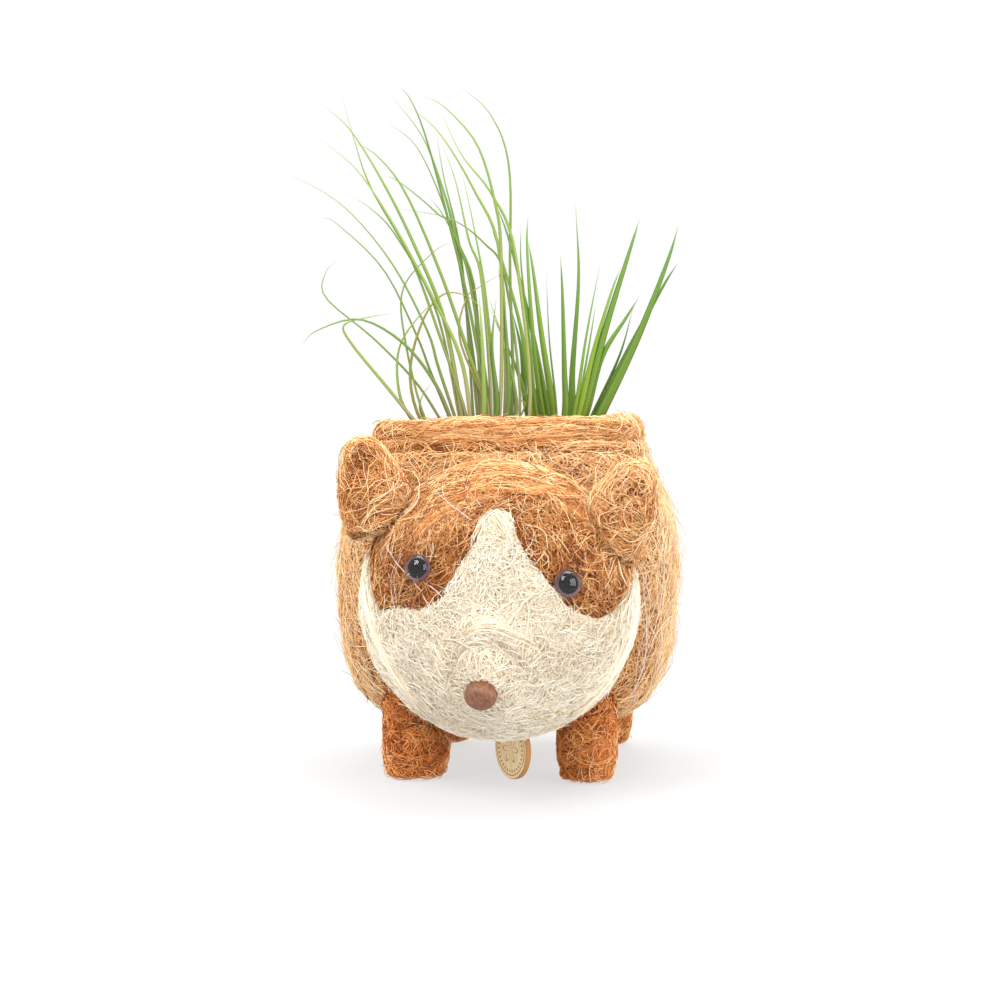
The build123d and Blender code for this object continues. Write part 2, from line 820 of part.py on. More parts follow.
with BuildPart() as face_mask:
    add(head_form)
    add(head_inner_form, mode=Mode.SUBTRACT)
    add(mask_prism.part, mode=Mode.INTERSECT)
    add(body_form.part, mode=Mode.SUBTRACT)
    for piece in (nose_peg.part, tag_stitch.part, *eye_backs, *ear_wire_parts):
        add(piece, mode=Mode.SUBTRACT)
face_mask.part.label = "face_mask"
export_step(face_mask.part, "parts/face_mask.step")

with BuildPart() as head_skin:
    add(head_form)
    add(head_inner_form, mode=Mode.SUBTRACT)
    add(mask_prism.part, mode=Mode.SUBTRACT)
    add(body_form.part, mode=Mode.SUBTRACT)
    for piece in (*eye_backs, *eye_shanks, *ear_wire_parts):
        add(piece, mode=Mode.SUBTRACT)
head_skin.part.label = "head_skin"
export_step(head_skin.part, "parts/head_skin.step")

with BuildPart() as head_core:
    add(head_inner_form)
    add(body_form.part, mode=Mode.SUBTRACT)
    for piece in (*eye_backs, *eye_shanks, *ear_wire_parts):
        add(piece, mode=Mode.SUBTRACT)
    for piece in (nose_peg.part, tag_stitch.part, neck_wires.part):
        add(piece, mode=Mode.SUBTRACT)
head_core.part.label = "head_core"
export_step(head_core.part, "parts/head_core.step")

# Liner pot standing on the cross ribs
liner_foot = rib_floor + hoop_radius + liner_seat_gap


def liner_section(height, width, length, inset):
    """One level outline of the liner, pulled in by inset."""
    with BuildSketch(Plane.XY.offset(height)) as outline:
        RectangleRounded(width - 2 * inset, length - 2 * inset, liner_corner - inset)
    return outline.sketch


with BuildPart() as liner_inside:
    inside_sections = [
        liner_section(liner_foot + liner_wall, liner_foot_width, liner_foot_length, liner_wall),
        liner_section(liner_top, liner_top_width, liner_top_length, liner_wall),
    ]
    loft(inside_sections, ruled=True)

with BuildPart() as liner_pot:
    outside_sections = [
        liner_section(liner_foot, liner_foot_width, liner_foot_length, 0),
        liner_section(liner_top, liner_top_width, liner_top_length, 0),
    ]
    loft(outside_sections, ruled=True)
    lip_height = liner_top - liner_lip_height
    lip_outline = liner_section(lip_height, liner_top_width, liner_top_length, -liner_lip)
    extrude(lip_outline, amount=liner_lip_height)
    add(liner_inside.part, mode=Mode.SUBTRACT)
liner_pot.part.label = "liner_pot"
export_step(liner_pot.part, "parts/liner_pot.step")

with BuildPart() as fibre_bed:
    add(liner_inside.part)
    split(bisect_by=Plane.XY.offset(bed_top), keep=Keep.BOTTOM)
fibre_bed.part.label = "fibre_bed"
export_step(fibre_bed.part, "parts/fibre_bed.step")

# Air plants
half_width = liner_top_width / 2
half_length = liner_top_length / 2
left_bulb = (left_bulb_shares[0] * half_width, left_bulb_shares[1] * half_length)
right_bulb = (right_bulb_shares[0] * half_width, right_bulb_shares[1] * half_length)
left_bulb_radius = left_bulb_share * half_width
right_bulb_radius = right_bulb_share * half_width
bulb_foot = bed_top + base_gap
bulb_top = bulb_foot + bulb_height
for name, (x, y), radius in (
    ("plant_left_base", left_bulb, left_bulb_radius),
    ("plant_right_base", right_bulb, right_bulb_radius),
):
    with BuildPart() as bulb:
        with BuildSketch(Plane(origin=(x, y, 0), x_dir=(1, 0, 0), z_dir=(0, -1, 0))):
            with BuildLine():
                Polyline((radius, bulb_top), (0, bulb_top), (0, bulb_foot), (radius / 2, bulb_foot))
                Spline(
                    (radius / 2, bulb_foot),
                    (radius, share_height(bulb_shoulder_share, bulb_foot, bulb_top)),
                    (radius, bulb_top),
                )
            make_face()
        revolve(axis=Axis((x, y, 0), (0, 0, 1)))
    bulb.part.label = name
    export_step(bulb.part, f"parts/{name}.step")


def seen_place(pixel, depth):
    """Where a pixel of the photograph lies at a depth behind the origin."""
    turn = math.radians(view_turn)
    away = 1 + depth / view_distance
    across = (pixel[0] - pixel_centre[0]) * pixel_size * away
    up = (pixel_centre[1] - pixel[1]) * pixel_size * away
    return Vector(across / math.cos(turn) - depth * math.tan(turn), depth, view_height + up)


def curve_point(points, share):
    """A point at a share of the way along a smooth curve through the points."""
    place = share * (len(points) - 1)
    first = min(int(place), len(points) - 2)
    t = place - first
    b, c = points[first], points[first + 1]
    a = points[first - 1] if first else b * 2 - c
    d = points[first + 2] if first + 2 < len(points) else c * 2 - b
    return (
        b * 2
        + (c - a) * t
        + (a * 2 - b * 5 + c * 4 - d) * t**2
        + (b * 3 - a - c * 3 + d) * t**3
    ) * 0.5


def blade(points, width, thickness):
    """A tapered three-sided blade along a smooth curve, in the block that calls this."""
    sections = []
    for span in range(blade_spans + 1):
        share = span / blade_spans
        here = curve_point(points, share)
        nudge = 0.5 / blade_spans / blade_spans
        ahead = curve_point(points, min(share + nudge, 1))
        behind = curve_point(points, max(share - nudge, 0))
        along = (ahead - behind).normalized()
        if span == 0:
            along = Vector(0, 0, 1)
        across = Vector(0, 1, 0).cross(along).normalized()
        size = 1 - (1 - tip_width_share) * share**taper_bow
        half = width / 2 * size
        deep = thickness * size
        with BuildSketch(Plane(origin=here, x_dir=across, z_dir=along)) as section:
            Polygon((-half, 0), (half, 0), (0, deep), align=None)
        sections.append(section.sketch)
    loft(sections, ruled=True)


def leaf_routes(pixels, bulb, lanes, fan, lean):
    """Curves of one plant's leaves, each in its own lane from front to back."""
    firsts = [seen_place(route[0], bulb[1]).X for route in pixels]
    middle = (min(firsts) + max(firsts)) / 2
    routes = []
    for route, first, lane in zip(pixels, firsts, lanes):
        points = [Vector(bulb[0] + root_share * (first - middle), bulb[1] + lane, bulb_top)]
        for pixel in route:
            rise = (seen_place(pixel, bulb[1]).Z - bulb_top) / leaf_height
            bow = rise**leaf_bow
            points.append(seen_place(pixel, bulb[1] + lane * (1 + fan * bow) + lean * bow))
        routes.append(points)
    return routes


def lane_places(pixels, lane_width):
    """Front-to-back places, the middle ones for the leaves that start furthest aside."""
    middle = (min(route[0][0] for route in pixels) + max(route[0][0] for route in pixels)) / 2
    order = sorted(range(len(pixels)), key=lambda i: -abs(pixels[i][0][0] - middle))
    step = lane_width / (len(pixels) - 1)
    lanes = [0.0] * len(pixels)
    for rank, index in enumerate(order):
        side = 1 if rank % 2 else -1
        lanes[index] = side * (rank + 1) // 2 * step
    return lanes


left_pixels = left_leaf_pixels + dry_leaf_pixels
left_lanes = lane_places(left_pixels, left_lane_width)
left_routes = leaf_routes(left_pixels, left_bulb, left_lanes, left_fan, left_lean)
green_count = len(left_leaf_pixels)
right_lanes = lane_places(right_leaf_pixels, right_lane_width)
right_routes = leaf_routes(right_leaf_pixels, right_bulb, right_lanes, right_fan, right_lean)

with BuildPart() as plant_left_leaves:
    for points, width in zip(left_routes[:green_count], left_leaf_widths):
        blade(points, width, blade_thickness)
plant_left_leaves.part.label = "plant_left_leaves"
export_step(plant_left_leaves.part, "parts/plant_left_leaves.step")

with BuildPart() as plant_left_dry_leaves:
    for points, width in zip(left_routes[green_count:], dry_leaf_widths):
        blade(points, width, blade_thickness)
plant_left_dry_leaves.part.label = "plant_left_dry_leaves"
export_step(plant_left_dry_leaves.part, "parts/plant_left_dry_leaves.step")

with BuildPart() as plant_right_leaves:
    for points, width in zip(right_routes, right_leaf_widths):
        blade(points, width, broad_blade_thickness)
plant_right_leaves.part.label = "plant_right_leaves"
export_step(plant_right_leaves.part, "parts/plant_right_leaves.step")
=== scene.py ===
"""A garden pot in the shape of a short-legged dog, made of coconut fibre (coir) bound over wire.

The frame gives every solid; this script dresses it in strands of fibre, thread, glass, wood and leaves.
Lengths inside the strand and leaf makers are millimetres, and meshes are written in metres.
"""

import math

import bpy
import numpy as np
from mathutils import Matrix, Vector, noise
from mathutils.bvhtree import BVHTree


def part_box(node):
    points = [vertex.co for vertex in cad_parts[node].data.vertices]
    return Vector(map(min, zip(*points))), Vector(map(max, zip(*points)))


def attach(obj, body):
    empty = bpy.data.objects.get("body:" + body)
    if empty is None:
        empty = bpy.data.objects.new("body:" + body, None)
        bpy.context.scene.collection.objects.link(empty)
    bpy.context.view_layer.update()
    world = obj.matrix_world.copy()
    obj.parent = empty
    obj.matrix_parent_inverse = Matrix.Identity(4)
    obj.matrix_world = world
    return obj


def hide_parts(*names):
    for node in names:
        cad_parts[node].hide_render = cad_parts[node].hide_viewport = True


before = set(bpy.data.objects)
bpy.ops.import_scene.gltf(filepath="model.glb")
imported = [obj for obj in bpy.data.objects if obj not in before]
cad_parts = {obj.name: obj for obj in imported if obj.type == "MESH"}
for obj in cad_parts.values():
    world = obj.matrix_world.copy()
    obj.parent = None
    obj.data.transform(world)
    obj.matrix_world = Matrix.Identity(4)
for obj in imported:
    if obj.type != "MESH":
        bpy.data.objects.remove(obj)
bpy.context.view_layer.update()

bl_info = {
    "name": "Coir Dog Planter",
    "version": (1, 0, 0),
    "blender": (4, 5, 0),
    "location": "View3D > Sidebar > Planter",
    "description": "Dresses a planter's solids in coir strands, thread, glass, wood and leaves",
    "category": "Object",
}

MM = 0.001
MAP_NAME = "OFBake"
BODY = "planter"
RNG_SEED = 11
PIECE_STRANDS = 3600  # strands in one piece
PATCH_MM = 18  # width of the felt's paler and darker patches


def linear(hex_colour):
    """An sRGB hex colour as a linear RGBA value."""
    channels = [int(hex_colour[i : i + 2], 16) / 255 for i in (1, 3, 5)]
    return (*(c / 12.92 if c <= 0.04045 else ((c + 0.055) / 1.055) ** 2.4 for c in channels), 1.0)


# Settings that a user would change
def length_setting(name, description, millimetres):
    """A length that a user can change."""
    return bpy.props.FloatProperty(
        name=name, description=description, default=millimetres * MM, unit="LENGTH", precision=5
    )


class CoirSettings(bpy.types.PropertyGroup):
    """Strands of brown and bleached coconut fibre."""

    strand_radius: length_setting("Strand radius", "Half the thickness of a brown coir strand", 0.18)
    bleached_radius: length_setting(
        "Bleached strand radius", "Half the thickness of a bleached strand on the face", 0.13
    )
    amount: bpy.props.FloatProperty(
        name="Amount of strands",
        description="How many strands are laid, as a share of the full coat",
        default=1.0,
        min=0.05,
        max=1.0,
        subtype="FACTOR",
    )
    lump_height: length_setting("Lump height", "How far the felted fibre swells and dips", 0.8)
    inset: length_setting(
        "Inset of the felt", "How far the felt lies under the solid, to leave room for the strands", 1.5
    )


class PlantSettings(bpy.types.PropertyGroup):
    """The two air plants."""

    blade_steps: bpy.props.IntProperty(
        name="Steps along a leaf",
        description="How finely each leaf's curve is divided",
        default=26,
        min=8,
    )


class StageSettings(bpy.types.PropertyGroup):
    """Floor and light."""

    floor_colour: bpy.props.FloatVectorProperty(
        name="Floor colour",
        description="Colour of the pale floor",
        default=linear("#767676"),
        size=4,
        subtype="COLOR",
    )
    floor_glow: bpy.props.FloatProperty(
        name="Floor glow",
        description="Light that comes up through the floor",
        default=0.62,
        min=0.0,
    )
    light_level: bpy.props.FloatProperty(
        name="Light level",
        description="Strength of the soft light from all round",
        default=1.3,
        min=0.0,
    )


# Materials
def add_node(tree, kind, inputs=None, stops=None, **settings):
    """Adds a node; an input takes a value or another node's output, and stops fill a colour ramp."""
    node = tree.nodes.new(kind)
    for key, value in settings.items():
        setattr(node, key, value)
    for key, value in (inputs or {}).items():
        if isinstance(value, bpy.types.NodeSocket):
            tree.links.new(value, node.inputs[key])
        else:
            node.inputs[key].default_value = value
    if stops:
        ramp = node.color_ramp
        while len(ramp.elements) < len(stops):
            ramp.elements.new(1.0)
        for element, (place, colour) in zip(ramp.elements, stops):
            element.position = place
            element.color = linear(colour)
    return node


def new_material(name):
    """A material with an empty tree, its shader and its output."""
    material = bpy.data.materials.new(name)
    material.use_nodes = True
    tree = material.node_tree
    tree.nodes.clear()
    shader = add_node(tree, "ShaderNodeBsdfPrincipled")
    output = add_node(tree, "ShaderNodeOutputMaterial")
    tree.links.new(shader.outputs["BSDF"], output.inputs["Surface"])
    return material, tree, shader


def strand_material(name, shade_stops, along_stops, roughness):
    """Single plant fibres: each has a shade of its own, and its ends are darker.

    The map's first value is the strand's shade and its second the place along it.
    """
    material, tree, shader = new_material(name)
    uv = add_node(tree, "ShaderNodeUVMap", uv_map=MAP_NAME)
    split = add_node(tree, "ShaderNodeSeparateXYZ", {"Vector": uv.outputs["UV"]})
    shade = add_node(tree, "ShaderNodeValToRGB", {"Fac": split.outputs["X"]}, stops=shade_stops)
    along = add_node(tree, "ShaderNodeValToRGB", {"Fac": split.outputs["Y"]}, stops=along_stops)
    inputs = {6: shade.outputs["Color"], 7: along.outputs["Color"], 0: 1.0}
    mixed = add_node(tree, "ShaderNodeMix", inputs, data_type="RGBA", blend_type="MULTIPLY")
    tree.links.new(mixed.outputs[2], shader.inputs["Base Color"])
    shader.inputs["Roughness"].default_value = roughness
    shader.inputs["Specular IOR Level"].default_value = 0.35
    return material


def felted_coir(name, middle, dark, light, grain_mm):
    """The felted ground under the strands: short fibres pressed together, matte and uneven."""
    material, tree, shader = new_material(name)
    place = add_node(tree, "ShaderNodeTexCoord")
    place = place.outputs["Object"]
    inputs = {"Vector": place, "Scale": 1 / (grain_mm * MM), "Detail": 5.0, "Distortion": 1.6}
    grain = add_node(tree, "ShaderNodeTexNoise", inputs)
    inputs = {"Vector": place, "Scale": 1 / (PATCH_MM * MM), "Detail": 2.0}
    patches = add_node(tree, "ShaderNodeTexNoise", inputs)
    stops = [(0.34, dark), (0.52, middle), (0.68, light)]
    tone = add_node(tree, "ShaderNodeValToRGB", {"Fac": grain.outputs["Fac"]}, stops=stops)
    stops = [(0.3, "#B9B0A6"), (0.7, "#FFFFFF")]
    wide = add_node(tree, "ShaderNodeValToRGB", {"Fac": patches.outputs["Fac"]}, stops=stops)
    inputs = {6: tone.outputs["Color"], 7: wide.outputs["Color"], 0: 1.0}
    mixed = add_node(tree, "ShaderNodeMix", inputs, data_type="RGBA", blend_type="MULTIPLY")
    tree.links.new(mixed.outputs[2], shader.inputs["Base Color"])
    inputs = {"Height": grain.outputs["Fac"], "Distance": 0.5 * MM, "Strength": 0.8}
    bump = add_node(tree, "ShaderNodeBump", inputs)
    tree.links.new(bump.outputs["Normal"], shader.inputs["Normal"])
    shader.inputs["Roughness"].default_value = 0.9
    shader.inputs["Specular IOR Level"].default_value = 0.2
    return material


# Surfaces and strands, in millimetres
def unit(vectors):
    """Vectors of length one along the last axis."""
    return vectors / np.maximum(np.linalg.norm(vectors, axis=-1, keepdims=True), 1e-9)


def turned(vectors, axes, angles):
    """Vectors turned about axes that stand square to them."""
    angles = angles[:, None]
    return vectors * np.cos(angles) + np.cross(axes, vectors) * np.sin(angles)


def circle_steps(count):
    """Angles evenly round a full circle."""
    return np.arange(count) / count * 2 * math.pi


def node_points(name):
    """A CAD node's corners, in millimetres."""
    return np.array([v.co[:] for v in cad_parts[name].data.vertices]) / MM


def smooth_mesh(name, points, faces):
    """A smoothly shaded mesh through points given in millimetres."""
    mesh = bpy.data.meshes.new(name)
    mesh.from_pydata((np.reshape(points, (-1, 3)) * MM).tolist(), [], faces)
    mesh.polygons.foreach_set("use_smooth", np.ones(len(mesh.polygons), bool))
    mesh.update()
    return mesh


def skin(name, rows, ends=(True, True), ring=False):
    """Skin over closed rings of points, with ends that are capped, or with the rings themselves in a ring."""
    count, around, _ = rows.shape
    faces = []
    for i in range(count if ring else count - 1):
        here, there = i * around, (i + 1) % count * around
        for j in range(around):
            k = (j + 1) % around
            face = (here + j, here + k, there + k, there + j)
            faces.append((face[0], *face[:0:-1]) if ring else face)
    if ends[0] and not ring:
        faces.append(tuple(range(around))[::-1])
    if ends[1] and not ring:
        faces.append(tuple(range((count - 1) * around, count * around)))
    return smooth_mesh(name, rows, faces)


class Surface:
    """Triangles that strands are laid on."""

    def __init__(self, *objects):
        points, faces, count = [], [], 0
        for obj in objects:
            mesh = obj.data
            mesh.calc_loop_triangles()
            co = np.empty(len(mesh.vertices) * 3)
            mesh.vertices.foreach_get("co", co)
            tri = np.empty(len(mesh.loop_triangles) * 3, np.int32)
            mesh.loop_triangles.foreach_get("vertices", tri)
            points.append(co.reshape(-1, 3) / MM)
            faces.append(tri.reshape(-1, 3) + count)
            count += len(mesh.vertices)
        self.points = np.concatenate(points)
        self.faces = np.concatenate(faces)
        self.tree = BVHTree.FromPolygons(self.points.tolist(), self.faces.tolist())
        corners = self.points[self.faces]
        cross = np.cross(corners[:, 1] - corners[:, 0], corners[:, 2] - corners[:, 0])
        self.area = np.linalg.norm(cross, axis=1) / 2
        self.normal = unit(cross)

    def scatter(self, rng, count, where):
        """Random places and normals on the faces that where() accepts."""
        middle = self.points[self.faces].mean(axis=1)
        weight = self.area * where(middle, self.normal)
        picked = rng.choice(len(weight), count, p=weight / weight.sum())
        a, b = rng.random((2, count, 1))
        over = a + b > 1
        a, b = np.where(over, 1 - a, a), np.where(over, 1 - b, b)
        corner = self.points[self.faces[picked]]
        places = corner[:, 0] + a * (corner[:, 1] - corner[:, 0]) + b * (corner[:, 2] - corner[:, 0])
        return places, self.normal[picked]

    def nearest(self, places):
        """The nearest surface places and their normals."""
        hits = [self.tree.find_nearest(p)[:2] for p in places.tolist()]
        return np.array([h[0] for h in hits]), np.array([h[1] for h in hits])


def tube_mesh(name, paths, ups, radii, shades, sides=3):
    """Closed tubes along paths; the map holds each tube's shade and the place along it."""
    count, steps, _ = paths.shape
    along = unit(np.gradient(paths, axis=1))
    across = unit(np.cross(along, ups))
    ups = np.cross(across, along)
    angle = circle_steps(sides) + math.pi / 2
    ring = (
        paths[:, :, None]
        + radii[:, :, None, None] * np.cos(angle)[:, None] * across[:, :, None]
        + radii[:, :, None, None] * np.sin(angle)[:, None] * ups[:, :, None]
    )
    first = (np.arange(count) * steps * sides)[:, None, None] + (np.arange(steps - 1) * sides)[:, None]
    here = np.arange(sides)
    there = (here + 1) % sides
    quads = np.stack([first + here, first + there, first + sides + there, first + sides + here], -1)
    start = (np.arange(count) * steps * sides)[:, None] + here[::-1]
    end = (np.arange(count) * steps * sides + (steps - 1) * sides)[:, None] + here
    faces = quads.reshape(-1, 4).tolist() + start.tolist() + end.tolist()
    mesh = smooth_mesh(name, ring, faces)
    # each face gets a narrow strip of the map, so that none is without width
    width = 0.004
    u = np.repeat(shades, (steps - 1) * sides)
    k = np.tile(np.repeat(np.arange(steps - 1), sides), count)
    v0, v1 = k / (steps - 1), (k + 1) / (steps - 1)
    corners = ((u, v0), (u + width, v0), (u + width, v1), (u, v1))
    quad_uv = np.stack([np.stack(corner, -1) for corner in corners], 1).reshape(-1, 2)
    fan = np.zeros((count, sides, 2))
    fan[:, :, 0] = shades[:, None] + width * (np.arange(sides) % 2)
    fan[:, :, 1] = 0.01 * np.arange(sides) / sides
    far = fan.copy()
    far[:, :, 1] = 1 - fan[:, :, 1]
    uv = mesh.uv_layers.new(name=MAP_NAME)
    uv.data.foreach_set(
        "uv", np.concatenate([quad_uv, fan.reshape(-1, 2), far.reshape(-1, 2)]).clip(0, 1).ravel()
    )
    return mesh


def place_piece(name, mesh, material, body, replaced=()):
    """Adds an object to the scene that rides on a body and stands for CAD nodes."""
    mesh.materials.clear()
    mesh.materials.append(material)
    obj = bpy.data.objects.new(name, mesh)
    bpy.context.scene.collection.objects.link(obj)
    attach(obj, body)
    if replaced:
        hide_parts(*replaced)
    return obj


def felted_piece(name, nodes, material, voxel=1.5, lumps=1.0, raised=0.0, centre=None, body=BODY):
    """CAD nodes remeshed as one felted lump of fibre, a little uneven and set in.

    With a centre, the felt moves towards it; without one, along its own normals.
    """
    source = bpy.data.meshes.new(name)
    points, faces, count = [], [], 0
    for node in nodes:
        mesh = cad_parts[node].data
        points += [v.co[:] for v in mesh.vertices]
        faces += [[i + count for i in p.vertices] for p in mesh.polygons]
        count = len(points)
    source.from_pydata(points, [], faces)
    obj = place_piece(name, source, material, body, nodes)
    remesh = obj.modifiers.new("felt", "REMESH")
    remesh.mode = "VOXEL"
    remesh.voxel_size = voxel * MM
    soften = obj.modifiers.new("soften", "SMOOTH")
    soften.iterations = 4
    graph = bpy.context.evaluated_depsgraph_get()
    felt = bpy.data.meshes.new_from_object(obj.evaluated_get(graph))
    obj.modifiers.clear()
    obj.data = felt
    settings = bpy.context.scene.coir
    height = settings.lump_height / MM * lumps
    inset = settings.inset / MM - raised
    ways = [v.normal.copy() for v in felt.vertices]
    if centre is not None:
        ways = [(v.co / MM - Vector(centre)).normalized() for v in felt.vertices]
    for vertex, way in zip(felt.vertices, ways):
        p = vertex.co / MM
        swell = 0.6 * noise.noise(p / 9) + 0.4 * noise.noise(p / 4)
        vertex.co += way * ((swell * height - inset) * MM)
        vertex.co.z = max(vertex.co.z, 0)
    felt.polygons.foreach_set("use_smooth", np.ones(len(felt.polygons), bool))
    felt.update()
    return obj


def add_tubes(name, paths, ups, radii, shades, material, body=BODY):
    """Adds tubes as pieces small enough to export."""
    for part, first in enumerate(range(0, len(paths), PIECE_STRANDS)):
        rows = slice(first, first + PIECE_STRANDS)
        title = f"{name}_{part + 1}"
        mesh = tube_mesh(title, paths[rows], ups[rows], radii[rows], shades[rows])
        place_piece(title, mesh, material, body)


def pointed(t):
    """Thickness along a strand, which thins towards both ends."""
    return np.minimum(1, 0.35 + 2.6 * np.minimum(t, 1 - t))


def lay_strands(
    name, surface, material, count, flow, where, radius, start=None, keep=None, length=22, steps=8,
    spread=3.1, curl=0.28, follow=0.0, bundle=3, bundle_width=0.6, lift=(0.1, 1.0), loose=0.02,
    loose_rise=3.5, shade_mean=0.5, shade_spread=0.16, shade_at=None, seed=0, body=BODY,
):
    """Lays bundles of strands that hug a surface.

    They start on the faces of start that where() accepts, and keep() drops whole strands.
    """
    rng = np.random.default_rng(RNG_SEED + seed)
    count = max(int(count * bpy.context.scene.coir.amount), 3 * bundle)
    groups = int(count * (1.0 if keep is None else 1.9)) // bundle
    places, normals = (start or surface).scatter(rng, groups, where)
    heading = flow(places, normals)
    heading = unit(heading - normals * (heading * normals).sum(-1, keepdims=True))
    heading = turned(heading, normals, rng.normal(0, spread, groups))
    heading *= rng.choice((-1, 1), groups)[:, None]
    bend = rng.normal(0, curl, groups)
    high = rng.uniform(*lift, groups)
    tone = np.array([noise.noise(Vector(p) / 12) for p in places]) * 0.25
    tone += rng.normal(0, shade_spread * 0.6, groups)

    # strands of a bundle share its way and spread a little
    total = groups * bundle
    places, normals, heading, bend, high, tone = (
        np.repeat(values, bundle, axis=0) for values in (places, normals, heading, bend, high, tone)
    )
    side = np.cross(normals, heading)
    places = places + side * rng.normal(0, bundle_width, (total, 1))
    places = places + heading * rng.uniform(-0.3, 0.3, (total, 1)) * length
    heading = turned(heading, normals, rng.normal(0, 0.22, total))
    bend = bend * 0.7 + rng.normal(0, curl * 0.5, total)
    high = high + rng.normal(0, 0.12, total)
    tone = tone + rng.normal(0, shade_spread * 0.8, total)
    step = length / steps * rng.uniform(0.5, 1.3, (total, 1))

    rows, ups = [], []
    for _ in range(steps + 1):
        places, normals = surface.nearest(places)
        rows.append(places)
        ups.append(normals)
        wanted = flow(places, normals)
        wanted = wanted * np.sign((wanted * heading).sum(-1, keepdims=True) + 1e-9)
        heading = heading * (1 - follow) + wanted * follow
        heading = unit(heading - normals * (heading * normals).sum(-1, keepdims=True))
        bend = bend * 0.8 + rng.normal(0, curl * 0.7, total)
        heading = turned(heading, normals, bend)
        places = places + heading * step
    paths = np.stack(rows, 1)
    ups = unit(np.stack(ups, 1))
    t = np.linspace(0, 1, steps + 1)
    wave = rng.uniform(0.05, 0.4, (total, 1)) * np.sin(t * math.pi * rng.uniform(0.8, 2.6, (total, 1)))
    rise = np.clip(high[:, None] + wave, -0.1, None)
    flying = rng.random(total) < loose
    rise = rise + flying[:, None] * t**2 * rng.uniform(0.3, 1.0, (total, 1)) * loose_rise
    # painted shade between strands: strands that stand higher are painted lighter and low ones darker
    shades = shade_mean + tone + 0.25 * (high - np.mean(lift))
    if shade_at is not None:
        shades = shades + shade_at(paths[:, steps // 2])
    if keep is not None:
        kept = np.flatnonzero(keep(paths))[: count // bundle * bundle]
        paths, ups, rise, shades = paths[kept], ups[kept], rise[kept], shades[kept]
    paths = paths + ups * rise[..., None]
    paths[..., 2] = np.maximum(paths[..., 2], radius / MM)
    thick = radius / MM * rng.uniform(0.6, 1.3, (len(paths), 1))
    radii = thick * pointed(t)
    add_tubes(name, paths, ups, radii, shades.clip(0.02, 0.97), material, body)


def smooth_curve(points, steps):
    """Points evenly along a smooth curve through the given ones."""
    points = np.asarray(points, float)
    padded = np.concatenate([[2 * points[0] - points[1]], points, [2 * points[-1] - points[-2]]])
    share = np.linspace(0, len(points) - 1, steps)
    first = np.minimum(share.astype(int), len(points) - 2)
    t = (share - first)[:, None]
    a, b, c, d = (padded[first + k] for k in range(4))
    return (2 * b + (c - a) * t + (2 * a - 5 * b + 4 * c - d) * t**2 + (b * 3 - a - 3 * c + d) * t**3) / 2


def seen_places(surface, pixels, steps):
    """Where a route drawn in the photograph's pixels meets a surface, and the normals there."""
    places, normals = [], []
    for pixel in smooth_curve(pixels, steps):
        hit, normal, *_ = surface.tree.ray_cast(Vector(EYE), Vector(sight_line(pixel)))
        if hit is not None:
            places.append(hit[:])
            normals.append(normal[:])
    if len(places) < steps / 2:
        raise RuntimeError(f"The route from pixel {pixels[0]} misses the planter")
    share = np.linspace(0, len(places) - 1, steps)
    index = np.arange(len(places))
    places, normals = (
        np.stack([np.interp(share, index, column) for column in np.transpose(values)], 1)
        for values in (places, normals)
    )
    return places, unit(normals)


def lay_rope(
    name, surface, pixels, material, count, radius, width=1.4, lift=(0.4, 1.6), shade_mean=0.6,
    shade_spread=0.12, share=(0.45, 0.9), seed=0,
):
    """Strands that run together along a route seen in the photograph."""
    steps = 12
    rng = np.random.default_rng(RNG_SEED + seed)
    line = seen_places(surface, pixels, 60)[0]
    long = rng.uniform(*share, count)
    begin = rng.uniform(-0.02, 1.02 - long)
    t = np.linspace(0, 1, steps + 1)
    place = ((begin[:, None] + long[:, None] * t).clip(0, 1)) * (len(line) - 1)
    low = np.minimum(place.astype(int), len(line) - 2)
    paths = line[low] + (line[low + 1] - line[low]) * (place - low)[..., None]
    near, ups = surface.nearest(paths.reshape(-1, 3))
    near, ups = near.reshape(paths.shape), ups.reshape(paths.shape)
    side = unit(np.cross(ups, np.gradient(paths, axis=1)))
    sway = rng.normal(0, width, (count, 1)) + rng.normal(0, width * 0.6, (count, 1)) * np.sin(
        t * math.pi * rng.uniform(0.6, 2.2, (count, 1)) + rng.uniform(0, 6.3, (count, 1))
    )
    near, ups = surface.nearest((near + side * sway[..., None]).reshape(-1, 3))
    near, ups = near.reshape(paths.shape), ups.reshape(paths.shape)
    high = rng.uniform(*lift, (count, 1)) * np.exp(-((sway / (2.2 * width)) ** 2))
    paths = near + ups * (high + 0.25)[..., None]
    radii = radius / MM * rng.uniform(0.7, 1.25, (count, 1)) * pointed(t)
    shades = (shade_mean + rng.normal(0, shade_spread, count)).clip(0.02, 0.97)
    add_tubes(name, paths, ups, radii, shades, material)


# Where things are, in millimetres
CAMERA_AT = Vector((80.99, -841.11, 128.0)) * MM
CAMERA_LOOKS = Vector((-0.10140, 0.99455, -0.02438))
FOCAL_PIXELS = 2050
PHOTO_MIDDLE = 500
EYE = np.array(CAMERA_AT) / MM
LOOK = np.array(CAMERA_LOOKS.normalized())
LOOK_RIGHT = unit(np.cross(LOOK, (0, 0, 1.0)))
LOOK_UP = np.cross(LOOK_RIGHT, LOOK)
HEAD_CENTRE = np.array((3.8, -87.0, 72.4))
HEAD_RADIUS = 51.8
HEAD_SIZE = np.array((51.8, 40.0, 51.8))
HEAD_ROLL = math.radians(5.5)
HEAD_ACROSS = np.array((math.cos(HEAD_ROLL), 0, -math.sin(HEAD_ROLL)))
HEAD_UP = np.array((math.sin(HEAD_ROLL), 0, math.cos(HEAD_ROLL)))
SNOUT_AT = HEAD_CENTRE + HEAD_ACROSS * 0.03 * HEAD_RADIUS + HEAD_UP * -0.435 * HEAD_RADIUS
SNOUT_REACH = 24.5
RIM_HALF = (47.25, 48.75)
